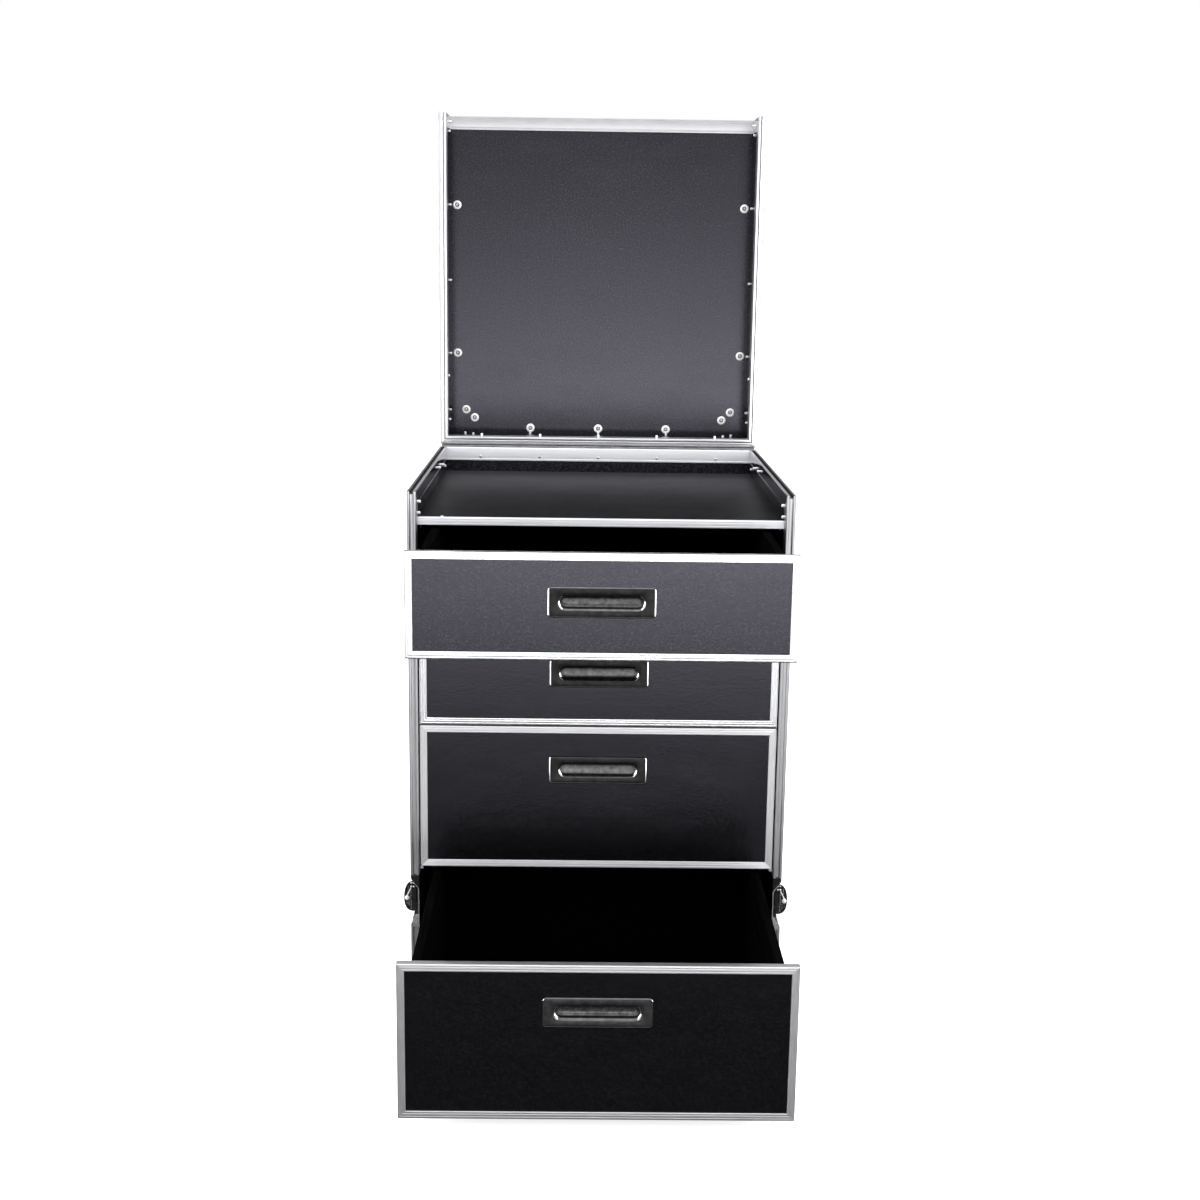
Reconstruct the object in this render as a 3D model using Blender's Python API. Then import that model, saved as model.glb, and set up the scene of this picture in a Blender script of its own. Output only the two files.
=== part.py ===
"""Production case: upright drawer body with a hinged lid, four drawers on
telescopic runners and a butterfly latch at each side of the front edge.

Frame: +Z up, the front of the case faces -Y, origin at the centre of the
underside of the base. Lengths below are millimetres; MM turns them into metres.
"""

import math

import bmesh
import bpy
from mathutils import Matrix, Vector

MM = 0.001

# ---------------------------------------------------------------- overall
CASE_W = 600.0          # outer width over the rails
CASE_D = 606.0          # outer depth over the rails
CASE_H = 866.0          # underside of the base to the rim of the body
LID_H = 105.3           # rim of the lid to its outer face
GAP = 0.3               # clearance between two pieces that touch
RIM_GAP = 0.3           # lid rim over body rim when the lid is shut

# ---------------------------------------------------------------- boards
PANEL = 10.0            # laminated plywood
BASE_T = 12.3           # base board, rebated under the edge angles
DRAWER_BOARD = 12.0     # sides and ends of the drawer boxes
DRAWER_BOTTOM = 6.0

# ---------------------------------------------------------------- rails
RAIL_W = 14.6           # width of the closing face
RAIL_LEG_T = 2.0
RAIL_LEG_OUT = 30.0     # outer leg, over the outside of the board
RAIL_LEG_IN = 24.5      # inner leg, inside the case
GROOVE_0, GROOVE_1, GROOVE_D = 4.3, 9.7, 5.0
TONGUE_0, TONGUE_1, TONGUE_H = 5.2, 8.8, 3.5
RAIL_WEB = 7.2          # depth of the web's back face
ANGLE_LEG, ANGLE_T = 30.0, 2.0

# ---------------------------------------------------------------- table
TABLE_SETBACK = 15.0    # front of the table edging behind the rails
TABLE_TRIM_TOP = 823.0
TABLE_TRIM_H = 11.8
TABLE_TOP = 821.5

# ---------------------------------------------------------------- drawers
FRONT_HALF_W = 282.8
DRAWER_TOPS = (810.0, 651.3, 492.6, 253.3)
DRAWER_HEIGHTS = (157.0, 157.0, 235.3, 235.3)
DRAWER_OPEN = (210.5, 0.0, 0.0, 366.0)      # how far each one stands out at rest
TRIM_W, TRIM_T, TRIM_DEPTH = 11.3, 1.5, 12.0
FRONT_SET, FRONT_T = 1.8, 9.0
BOX_HALF_W = 263.0
BOX_FRONT, BOX_LENGTH = 11.1, 520.0
BOX_TOP_DROP, BOX_BOTTOM_RISE = 4.0, 8.0
HANDLE_DROP = 72.0      # centre of the pull below the top of the front
PLATE_W, PLATE_H, PLATE_R = 155.0, 45.0, 5.0
SLOT_W, SLOT_H = 126.0, 24.0

# ---------------------------------------------------------------- runners
RUNNER_LENGTH = 500.0
RUNNER_FRONT = 25.0     # behind the front plane of the case
RUNNER_RISE = 58.0      # centre line above the bottom of the drawer front

# ---------------------------------------------------------------- hinge
HINGE_AXIS_OUT = 3.8    # axis behind the rear face of the case
KNUCKLE_R, PIN_R, BORE_R = 3.2, 1.5, 1.6
LEAF_T, LEAF_H = 1.2, 27.0
HINGE_HALF_L = 297.0
KNUCKLES = 11
LID_OPEN_DEG = 90.0

# ---------------------------------------------------------------- latches
LATCH_Z = 197.0
LATCH_HALF_H = 44.0
LATCH_DEPTH = 79.0      # dish, front to back
LATCH_RIM = 12.0         # flange behind the pocket
LATCH_RIM_Z = 8.0        # flanges above and below it
LATCH_Y = 28.0          # turning axis behind the front plane
WING_REACH = 19.5
WING_HALF_H = 28.7

HW, HD = CASE_W / 2, CASE_D / 2
FRONT, REAR = -HD, HD
HINGE_Y, HINGE_Z = REAR + HINGE_AXIS_OUT, CASE_H + RIM_GAP / 2
LID_Z0 = CASE_H + RIM_GAP
LID_Z1 = LID_Z0 + LID_H

for old in list(bpy.data.objects):
    bpy.data.objects.remove(old, do_unlink=True)


# ================================================================ helpers
def material(name, color, roughness, metallic):
    mat = bpy.data.materials.new(name)
    mat.use_nodes = True
    shader = mat.node_tree.nodes["Principled BSDF"]
    shader.inputs["Base Color"].default_value = (*color, 1.0)
    shader.inputs["Roughness"].default_value = roughness
    shader.inputs["Metallic"].default_value = metallic
    mat.diffuse_color = (*color, 1.0)
    return mat


FINISHES = {
    "laminate": ((0.030, 0.029, 0.033), 0.42, 0.0),
    "aluminium": ((0.80, 0.80, 0.82), 0.32, 1.0),
    "felt": ((0.010, 0.010, 0.010), 0.95, 0.0),
    "chrome": ((0.42, 0.42, 0.44), 0.18, 1.0),
    "zinc": ((0.55, 0.56, 0.58), 0.35, 1.0),
    "steel": ((0.62, 0.62, 0.64), 0.30, 1.0),
}


def axis_empty(name, x, y, z, parent=None):
    """An empty on a joint's axis, which carries the pieces that move on it."""
    empty = bpy.data.objects.new(name, None)
    empty.empty_display_size = 0.03
    bpy.context.collection.objects.link(empty)
    empty.location = Vector((x, y, z)) * MM
    if parent is not None:
        empty.parent = parent[0]
        empty.location = (Vector((x, y, z)) - Vector(parent[1])) * MM
    return empty, (x, y, z)


def finish_object(name, bm, finish, carrier=None, smooth=False):
    """Makes the object from a mesh drawn in case coordinates. With a carrier,
    the mesh is expressed about the carrier's axis and the object rides on it."""
    bmesh.ops.recalc_face_normals(bm, faces=bm.faces)
    if finish is None:
        origin = (0.0, 0.0, 0.0)
    else:
        origin = carrier[1] if carrier is not None else (0.0, 0.0, 0.0)
    bmesh.ops.translate(bm, verts=bm.verts, vec=-Vector(origin))
    bmesh.ops.scale(bm, verts=bm.verts, vec=(MM, MM, MM))
    mesh = bpy.data.meshes.new(name)
    bm.to_mesh(mesh)
    bm.free()
    obj = bpy.data.objects.new(name, mesh)
    bpy.context.collection.objects.link(obj)
    if finish is not None:
        mesh.materials.append(material(name + "_finish", *FINISHES[finish]))
    if carrier is not None:
        obj.parent = carrier[0]
    if smooth:
        mesh.shade_smooth()
        mesh.set_sharp_from_angle(angle=math.radians(35))
    return obj


def blocks(add, cut=()):
    """Closed surface of a set of axis-aligned blocks, less another set. Each
    block is (x0, x1, y0, y1, z0, z1)."""
    def clean(block):
        x0, x1, y0, y1, z0, z1 = block
        return (min(x0, x1), max(x0, x1), min(y0, y1), max(y0, y1), min(z0, z1), max(z0, z1))

    add = [clean(b) for b in add]
    cut = [clean(b) for b in cut]
    grids = []
    for axis in range(3):
        values = set()
        for b in add + cut:
            values.update((round(b[2 * axis], 4), round(b[2 * axis + 1], 4)))
        grids.append(sorted(values))

    def inside(block, point):
        return all(block[2 * a] < point[a] < block[2 * a + 1] for a in range(3))

    filled = set()
    counts = [len(g) - 1 for g in grids]
    for i in range(counts[0]):
        for j in range(counts[1]):
            for k in range(counts[2]):
                middle = [
                    (grids[a][n] + grids[a][n + 1]) / 2 for a, n in enumerate((i, j, k))
                ]
                if any(inside(b, middle) for b in add) and not any(
                    inside(b, middle) for b in cut
                ):
                    filled.add((i, j, k))
    bm = bmesh.new()
    corners = {}

    def corner(index):
        if index not in corners:
            corners[index] = bm.verts.new([grids[a][index[a]] for a in range(3)])
        return corners[index]

    for cell in sorted(filled):
        for axis in range(3):
            for side in (0, 1):
                neighbour = list(cell)
                neighbour[axis] += 1 if side else -1
                if tuple(neighbour) in filled:
                    continue
                b, c = (axis + 1) % 3, (axis + 2) % 3
                quad = []
                for db, dc in ((0, 0), (1, 0), (1, 1), (0, 1)):
                    index = list(cell)
                    index[axis] += side
                    index[b] += db
                    index[c] += dc
                    quad.append(corner(tuple(index)))
                if not side:
                    quad.reverse()
                bm.faces.new(quad)
    bmesh.ops.dissolve_limit(
        bm, angle_limit=math.radians(0.5), verts=bm.verts, edges=bm.edges
    )
    return bm


def sweep(profile, stations, closed=False):
    """Runs a closed profile of (u, v) points through mitre stations. A station
    is (corner point, direction of u, direction of v)."""
    bm = bmesh.new()
    rings = []
    for corner, u_dir, v_dir in stations:
        corner, u_dir, v_dir = Vector(corner), Vector(u_dir), Vector(v_dir)
        rings.append([bm.verts.new(corner + u * u_dir + v * v_dir) for u, v in profile])
    count = len(profile)
    pairs = list(zip(rings, rings[1:]))
    if closed:
        pairs.append((rings[-1], rings[0]))
    for a, b in pairs:
        for i in range(count):
            j = (i + 1) % count
            bm.faces.new((a[i], a[j], b[j], b[i]))
    if not closed:
        bm.faces.new(rings[0])
        bm.faces.new(rings[-1])
    return bm


def loft(rings, cap_first=True, cap_last=True):
    """Skins a list of rings of points with equal counts and caps both ends."""
    bm = bmesh.new()
    verts = [[bm.verts.new(p) for p in ring] for ring in rings]
    count = len(verts[0])
    for a, b in zip(verts, verts[1:]):
        for i in range(count):
            j = (i + 1) % count
            bm.faces.new((a[i], a[j], b[j], b[i]))
    if cap_first:
        bm.faces.new(verts[0])
    if cap_last:
        bm.faces.new(verts[-1])
    return bm


def cylinder(centre, axis, radius, length, sides):
    """A round bar whose middle is at centre, along X, Y or Z."""
    bm = bmesh.new()
    bmesh.ops.create_cone(
        bm,
        cap_ends=True,
        segments=sides,
        radius1=radius,
        radius2=radius,
        depth=length,
    )
    turn = {"X": Matrix.Rotation(math.pi / 2, 4, "Y"), "Y": Matrix.Rotation(math.pi / 2, 4, "X"), "Z": Matrix()}
    bmesh.ops.transform(bm, matrix=Matrix.Translation(centre) @ turn[axis], verts=bm.verts)
    return bm


def join(first, *others):
    """Adds the other meshes' faces to the first one, as separate bodies."""
    for other in others:
        lookup = {v: first.verts.new(v.co) for v in other.verts}
        for face in other.faces:
            first.faces.new([lookup[v] for v in face.verts])
        other.free()
    return first


def boolean(obj, operation, name, bm, carrier=None):
    """Keeps a live Boolean on obj, with its helper as a hidden wire object."""
    origin = carrier[1] if carrier is not None else (0.0, 0.0, 0.0)
    bmesh.ops.recalc_face_normals(bm, faces=bm.faces)
    bmesh.ops.translate(bm, verts=bm.verts, vec=-Vector(origin))
    bmesh.ops.scale(bm, verts=bm.verts, vec=(MM, MM, MM))
    mesh = bpy.data.meshes.new(name)
    bm.to_mesh(mesh)
    bm.free()
    helper = bpy.data.objects.new(name, mesh)
    bpy.context.collection.objects.link(helper)
    helper.hide_render = True
    helper.display_type = "WIRE"
    if carrier is not None:
        helper.parent = carrier[0]
    modifier = obj.modifiers.new(operation.lower(), "BOOLEAN")
    modifier.operation = operation
    modifier.solver = "EXACT"
    modifier.object = helper
    return helper


def mirror_x(block):
    x0, x1, y0, y1, z0, z1 = block
    return (-x1, -x0, y0, y1, z0, z1)


# ================================================================ profiles
def rail_profile(tongue):
    """Closing rail: a channel over the board edge. Its face has a groove, or
    a tongue that drops into the groove of its neighbour."""
    face = [(0.0, 0.6), (0.6, 0.0)]
    if tongue:
        face += [
            (TONGUE_0, 0.0),
            (TONGUE_0 + 0.4, -TONGUE_H),
            (TONGUE_1 - 0.4, -TONGUE_H),
            (TONGUE_1, 0.0),
        ]
    else:
        face += [
            (GROOVE_0 - 0.5, 0.0),
            (GROOVE_0, 0.5),
            (GROOVE_0, GROOVE_D),
            (GROOVE_1, GROOVE_D),
            (GROOVE_1, 0.5),
            (GROOVE_1 + 0.5, 0.0),
        ]
    face += [(RAIL_W - 0.6, 0.0), (RAIL_W, 0.6)]
    inner = []
    for v in (8.0, 16.2):
        inner += [(RAIL_W, v), (RAIL_W - 0.4, v + 0.4), (RAIL_W - 0.4, v + 1.4), (RAIL_W, v + 1.8)]
    inner += [(RAIL_W, RAIL_LEG_IN - 0.4), (RAIL_W - 0.4, RAIL_LEG_IN), (RAIL_W - RAIL_LEG_T, RAIL_LEG_IN)]
    inside = [(RAIL_W - RAIL_LEG_T, RAIL_WEB), (RAIL_LEG_T, RAIL_WEB)]
    outer = [(RAIL_LEG_T, RAIL_LEG_OUT), (0.4, RAIL_LEG_OUT), (0.0, RAIL_LEG_OUT - 0.4)]
    for v in (20.0, 10.0):
        outer += [(0.0, v + 1.8), (0.4, v + 1.4), (0.4, v + 0.4), (0.0, v)]
    return face + inner + inside + outer


GROOVED, TONGUED = rail_profile(False), rail_profile(True)

# Board planes, measured from the outer corner of the rails.
BOARD_0 = RAIL_LEG_T + GAP          # outer face of a board inside a rail
BOARD_1 = BOARD_0 + PANEL           # its inner face
BOARD_EDGE = RAIL_WEB + GAP         # its edge under the web

# ================================================================ body: boards
side_z0, side_z1 = BASE_T + GAP, CASE_H - BOARD_EDGE
rear_y0, rear_y1 = REAR - BOARD_1, REAR - BOARD_0
side_x0, side_x1 = HW - BOARD_1, HW - BOARD_0

dish_z0, dish_z1 = LATCH_Z - LATCH_HALF_H, LATCH_Z + LATCH_HALF_H
pocket_z0, pocket_z1 = dish_z0 + LATCH_RIM_Z, dish_z1 - LATCH_RIM_Z
dish_y1 = FRONT + LATCH_DEPTH
pocket_y1 = dish_y1 - LATCH_RIM

side_block = (side_x0, side_x1, FRONT + BOARD_EDGE, rear_y1, side_z0, side_z1)
side_notch = (
    side_x0 - 1,
    side_x1 + 1,
    FRONT,
    pocket_y1 + 1.5,
    pocket_z0 - 1.5,
    pocket_z1 + 1.5,
)
finish_object("right_side_panel", blocks([side_block], [side_notch]), "laminate")
finish_object(
    "left_side_panel", blocks([mirror_x(side_block)], [mirror_x(side_notch)]), "laminate"
)
finish_object(
    "rear_panel",
    blocks([(-(side_x0 - GAP), side_x0 - GAP, rear_y0, rear_y1, side_z0, side_z1)]),
    "laminate",
)
# Base board: its border is rebated so that the angles under it lie flush.
finish_object(
    "base_panel",
    blocks(
        [
            (-side_x1, side_x1, FRONT + BOARD_EDGE, rear_y1, BOARD_0, BASE_T),
            (
                -(HW - ANGLE_LEG - GAP),
                HW - ANGLE_LEG - GAP,
                FRONT + RAIL_LEG_OUT + GAP,
                REAR - ANGLE_LEG - GAP,
                0,
                BASE_T,
            ),
        ]
    ),
    "laminate",
)
table_y0 = FRONT + TABLE_SETBACK + TRIM_T + GAP
table_notch_y = FRONT + RAIL_LEG_IN + GAP
finish_object(
    "table_panel",
    blocks(
        [
            (-(side_x0 - GAP), side_x0 - GAP, table_notch_y, rear_y0 - GAP, TABLE_TOP - PANEL, TABLE_TOP),
            (
                -(HW - RAIL_W - GAP),
                HW - RAIL_W - GAP,
                table_y0,
                table_notch_y,
                TABLE_TOP - PANEL,
                TABLE_TOP,
            ),
        ],
        [
            (
                -(HW - RAIL_W),
                HW - RAIL_W,
                table_y0 - 1,
                FRONT + TABLE_SETBACK + 10.0 + GAP,
                TABLE_TRIM_TOP - 1.9 - GAP,
                TABLE_TOP + 1,
            )
        ],
    ),
    "laminate",
)
# Edging over the front of the table: an upright face with a short top flange
# let into the board.
trim_top = TABLE_TRIM_TOP
trim_x = HW - RAIL_W - GAP
table_profile = [
    (0.0, -0.5), (0.5, 0.0), (9.5, 0.0), (10.0, -0.4), (10.0, -1.9),
    (TRIM_T, -1.9), (TRIM_T, -TABLE_TRIM_H), (0.5, -TABLE_TRIM_H), (0.0, -TABLE_TRIM_H + 0.5),
    (0.0, -8.4), (0.4, -8.0), (0.4, -7.2), (0.0, -6.8),
    (0.0, -5.0), (0.4, -4.6), (0.4, -3.8), (0.0, -3.4),
]
finish_object(
    "table_front_trim",
    sweep(
        table_profile,
        [
            ((-trim_x, FRONT + TABLE_SETBACK, trim_top), (0, 1, 0), (0, 0, 1)),
            ((trim_x, FRONT + TABLE_SETBACK, trim_top), (0, 1, 0), (0, 0, 1)),
        ],
    ),
    "aluminium",
)

# ================================================================ body: rails
finish_object(
    "rim_rail",
    sweep(
        GROOVED,
        [
            ((-HW, FRONT, CASE_H), (1, 0, 0), (0, 1, -1)),
            ((-HW, REAR, CASE_H), (1, -1, 0), (0, 0, -1)),
            ((HW, REAR, CASE_H), (-1, -1, 0), (0, 0, -1)),
            ((HW, FRONT, CASE_H), (-1, 0, 0), (0, 1, -1)),
        ],
    ),
    "aluminium",
)
mitre_drop = 1.5 * GAP
for side, sign in (("left", -1), ("right", 1)):
    finish_object(
        "front_rail_" + side,
        sweep(
            GROOVED,
            [
                ((sign * HW, FRONT, dish_z1 + GAP), (-sign, 0, 0), (0, 1, 0)),
                ((sign * HW, FRONT, CASE_H - mitre_drop), (-sign, 0, 0), (0, 1, -1)),
            ],
        ),
        "aluminium",
    )
finish_object(
    "front_rail_lower",
    sweep(
        GROOVED,
        [
            ((-HW, FRONT, dish_z0 - GAP), (1, 0, 0), (0, 1, 0)),
            ((-HW, FRONT, 0), (1, 0, 1), (0, 1, 0)),
            ((HW, FRONT, 0), (-1, 0, 1), (0, 1, 0)),
            ((HW, FRONT, dish_z0 - GAP), (-1, 0, 0), (0, 1, 0)),
        ],
    ),
    "aluminium",
)
# Edge angles along the base and up the two rear corners, joined at the corners.
angle_y0 = FRONT + RAIL_LEG_OUT + GAP
angle_z1 = CASE_H - RAIL_LEG_OUT - GAP
base_angles = []
for s in (-1, 1):
    base_angles += [
        (s * HW, s * (HW - ANGLE_T), angle_y0, REAR, 0, ANGLE_LEG),
        (s * HW, s * (HW - ANGLE_LEG), angle_y0, REAR, 0, ANGLE_T),
        (s * HW, s * (HW - ANGLE_T), REAR - ANGLE_LEG, REAR, 0, angle_z1),
        (s * HW, s * (HW - ANGLE_LEG), REAR - ANGLE_T, REAR, 0, angle_z1),
    ]
base_angles += [
    (-HW, HW, REAR - ANGLE_T, REAR, 0, ANGLE_LEG),
    (-HW, HW, REAR - ANGLE_LEG, REAR, 0, ANGLE_T),
]
finish_object("edge_angle_frame", blocks(base_angles), "aluminium")

# ================================================================ hinge
hinge_lid = axis_empty("lid_hinge_axis", 0, HINGE_Y, HINGE_Z)


def hinge_outline(up):
    """(y, z) outline about the axis: the leaf rises (or hangs) from the barrel
    on the side next to the case."""
    y0 = REAR + GAP - HINGE_Y
    y1 = y0 + LEAF_T
    way = 1.0 if up else -1.0
    meet = math.acos(y1 / KNUCKLE_R)    # angle of the outer face on the barrel
    outline = [(y0, way * (LEAF_H + 4.0)), (y0, way * 0.6), (y0 + 0.5, -way * 0.6)]
    # From just past the case side, under the pin, round the far side, to the leaf.
    a0, a1 = math.pi + 0.35, 2 * math.pi + meet
    sides = 14
    for i in range(sides + 1):
        angle = a0 + (a1 - a0) * i / sides
        outline.append((KNUCKLE_R * math.cos(angle), way * KNUCKLE_R * math.sin(angle)))
    outline.append((y1, way * (LEAF_H + 4.0)))
    return outline


def leaf_solid(up):
    rings = []
    for x in (-HINGE_HALF_L, HINGE_HALF_L):
        rings.append([(x, HINGE_Y + y, HINGE_Z + z) for y, z in hinge_outline(up)])
    return loft(rings)


pitch = 2 * HINGE_HALF_L / KNUCKLES


def knuckle_slots(odd):
    """Blocks that clear the barrel where the other leaf has its knuckles."""
    slots = []
    for i in range(KNUCKLES):
        if i % 2 == odd:
            x0 = -HINGE_HALF_L + i * pitch
            slots.append((x0 - GAP / 2, x0 + pitch + GAP / 2))
    return slots


body_leaf = finish_object("hinge_leaf_body", leaf_solid(False), "zinc")
slot_mesh = bmesh.new()
for x0, x1 in knuckle_slots(1):
    join(slot_mesh, blocks([(x0, x1, HINGE_Y - 6, HINGE_Y + 6, HINGE_Z - KNUCKLE_R - 0.5, HINGE_Z + 6)]))
boolean(body_leaf, "DIFFERENCE", "hinge_slots_body", slot_mesh)
boolean(
    body_leaf,
    "UNION",
    "hinge_pin_staked",
    cylinder((0, HINGE_Y, HINGE_Z), "X", PIN_R, 2 * HINGE_HALF_L - 4, 12),
)

lid_leaf = finish_object("hinge_leaf_lid", leaf_solid(True), "zinc", hinge_lid)
slot_mesh = bmesh.new()
for x0, x1 in knuckle_slots(0):
    ends = (x0 - 2 if x0 < -HINGE_HALF_L + 1 else x0, x1 + 2 if x1 > HINGE_HALF_L - 1 else x1)
    join(
        slot_mesh,
        blocks([(ends[0], ends[1], HINGE_Y - 6, HINGE_Y + 6, HINGE_Z - 6, HINGE_Z + KNUCKLE_R + 0.5)]),
    )
boolean(lid_leaf, "DIFFERENCE", "hinge_slots_lid", slot_mesh, hinge_lid)
boolean(
    lid_leaf,
    "DIFFERENCE",
    "hinge_bore",
    cylinder((0, HINGE_Y, HINGE_Z), "X", BORE_R, 2 * HINGE_HALF_L + 10, 16),
    hinge_lid,
)

# ================================================================ lid (drawn shut)
lid_panel_z1 = LID_Z1 - BOARD_0
lid_panel_z0 = LID_Z1 - BOARD_1
wall_z0, wall_z1 = LID_Z0 + BOARD_EDGE, lid_panel_z0 - GAP
finish_object(
    "lid_panel",
    blocks([(-side_x1, side_x1, FRONT + BOARD_EDGE, rear_y1, lid_panel_z0, lid_panel_z1)]),
    "laminate",
    hinge_lid,
)
finish_object(
    "lid_walls",
    blocks(
        [
            (-side_x1, -side_x0, FRONT + BOARD_EDGE, rear_y1, wall_z0, wall_z1),
            (side_x0, side_x1, FRONT + BOARD_EDGE, rear_y1, wall_z0, wall_z1),
            (-side_x1, side_x1, rear_y0, rear_y1, wall_z0, wall_z1),
        ]
    ),
    "laminate",
    hinge_lid,
)
finish_object(
    "lid_rim_rail",
    sweep(
        TONGUED,
        [
            ((-HW, FRONT, LID_Z0), (1, 0, 0), (0, 1, 1)),
            ((-HW, REAR, LID_Z0), (1, -1, 0), (0, 0, 1)),
            ((HW, REAR, LID_Z0), (-1, -1, 0), (0, 0, 1)),
            ((HW, FRONT, LID_Z0), (-1, 0, 0), (0, 1, 1)),
        ],
    ),
    "aluminium",
    hinge_lid,
)
finish_object(
    "lid_front_rail",
    sweep(
        GROOVED,
        [
            ((-HW, FRONT, LID_Z0 + mitre_drop), (1, 0, 0), (0, 1, 1)),
            ((-HW, FRONT, LID_Z1), (1, 0, -1), (0, 1, 0)),
            ((HW, FRONT, LID_Z1), (-1, 0, -1), (0, 1, 0)),
            ((HW, FRONT, LID_Z0 + mitre_drop), (-1, 0, 0), (0, 1, 1)),
        ],
    ),
    "aluminium",
    hinge_lid,
)
lid_angle_z0 = LID_Z0 + RAIL_LEG_OUT + GAP
lid_angles = []
for s in (-1, 1):
    lid_angles += [
        (s * HW, s * (HW - ANGLE_T), angle_y0, REAR, LID_Z1 - ANGLE_LEG, LID_Z1),
        (s * HW, s * (HW - ANGLE_LEG), angle_y0, REAR, LID_Z1 - ANGLE_T, LID_Z1),
        (s * HW, s * (HW - ANGLE_T), REAR - ANGLE_LEG, REAR, lid_angle_z0, LID_Z1),
        (s * HW, s * (HW - ANGLE_LEG), REAR - ANGLE_T, REAR, lid_angle_z0, LID_Z1),
    ]
lid_angles += [
    (-HW, HW, REAR - ANGLE_T, REAR, LID_Z1 - ANGLE_LEG, LID_Z1),
    (-HW, HW, REAR - ANGLE_LEG, REAR, LID_Z1 - ANGLE_T, LID_Z1),
]
finish_object("lid_edge_angles", blocks(lid_angles), "aluminium", hinge_lid)

# ================================================================ ball corners
CORNER_LEG, CORNER_T, BALL_R, BALL_IN = 66.0, 1.5, 20.0, 15.0
CORNER_CUT = 24.0        # slanted cut across the far corner of each leg


def corner_cap(name, sign, level, way, carrier, flat):
    """Riveted corner cap: flanges on the outer faces and a ball over the
    corner itself. way is the direction from the corner into the case in Z."""
    outer = HW + GAP
    x0, x1 = sign * outer, sign * (outer + CORNER_T)
    xi = sign * (HW - CORNER_LEG)
    yo, yi = REAR + GAP, REAR - CORNER_LEG
    zo = level if flat else level - way * GAP
    zt = level if flat else level - way * (GAP + CORNER_T)
    zi = level + way * CORNER_LEG
    plates = [
        (x0, x1, yi, yo + CORNER_T, zt, zi),
        (xi, x1, yo, yo + CORNER_T, zt, zi),
    ]
    if not flat:
        plates.append((xi, x1, yi, yo + CORNER_T, zt, zo))
    cap = finish_object(name, blocks(plates), "chrome", carrier)
    centre = (sign * (HW - BALL_IN), REAR - BALL_IN, level + way * BALL_IN)
    ball = bmesh.new()
    bmesh.ops.create_icosphere(ball, subdivisions=3, radius=BALL_R)
    bmesh.ops.translate(ball, verts=ball.verts, vec=centre)
    boolean(cap, "UNION", name + "_ball", ball, carrier)

    def slant(axis):
        """Prism across the far corner of the leg that lies square to axis."""
        far = [sign * (HW - CORNER_LEG), yi, zi]
        way_out = [-sign, -1, way]
        b, c = (axis + 1) % 3, (axis + 2) % 3
        tips = []
        for db, dc in ((-CORNER_CUT, 1.0), (1.0, 1.0), (1.0, -CORNER_CUT)):
            tip = [0.0, 0.0, 0.0]
            tip[b] = far[b] + way_out[b] * db
            tip[c] = far[c] + way_out[c] * dc
            tips.append(tip)
        level_0 = (sign * (HW - 4.0), REAR - 4.0, level + way * 4.0)[axis]
        level_1 = (sign * (HW + 6.0), REAR + 6.0, level - way * 6.0)[axis]
        rings = []
        for value in (level_0, level_1):
            ring = []
            for tip in tips:
                point = list(tip)
                point[axis] = value
                ring.append(point)
            rings.append(ring)
        return loft(rings)

    for axis in (0, 1) if flat else (0, 1, 2):
        boolean(cap, "DIFFERENCE", name + "_slant_%d" % axis, slant(axis), carrier)
    inner = level + way * (-0.0 if flat else -GAP)
    if flat:
        hollow = blocks([(sign * outer, sign * (HW - 80), yo, REAR - 80, level - 60, level + 80)])
        boolean(cap, "DIFFERENCE", name + "_inside", hollow, carrier)
        foot = blocks([(sign * (HW - 80), sign * (HW + 40), REAR - 80, REAR + 40, level, level - 60)])
        boolean(cap, "DIFFERENCE", name + "_foot", foot, carrier)
    else:
        hollow = blocks([(sign * outer, sign * (HW - 80), yo, REAR - 80, inner, inner + way * 80)])
        boolean(cap, "DIFFERENCE", name + "_inside", hollow, carrier)
    return cap


for side, sign in (("left", -1), ("right", 1)):
    corner_cap("base_ball_corner_" + side, sign, 0.0, 1, None, True)
    corner_cap("lid_ball_corner_" + side, sign, LID_Z1, -1, hinge_lid, False)

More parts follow.
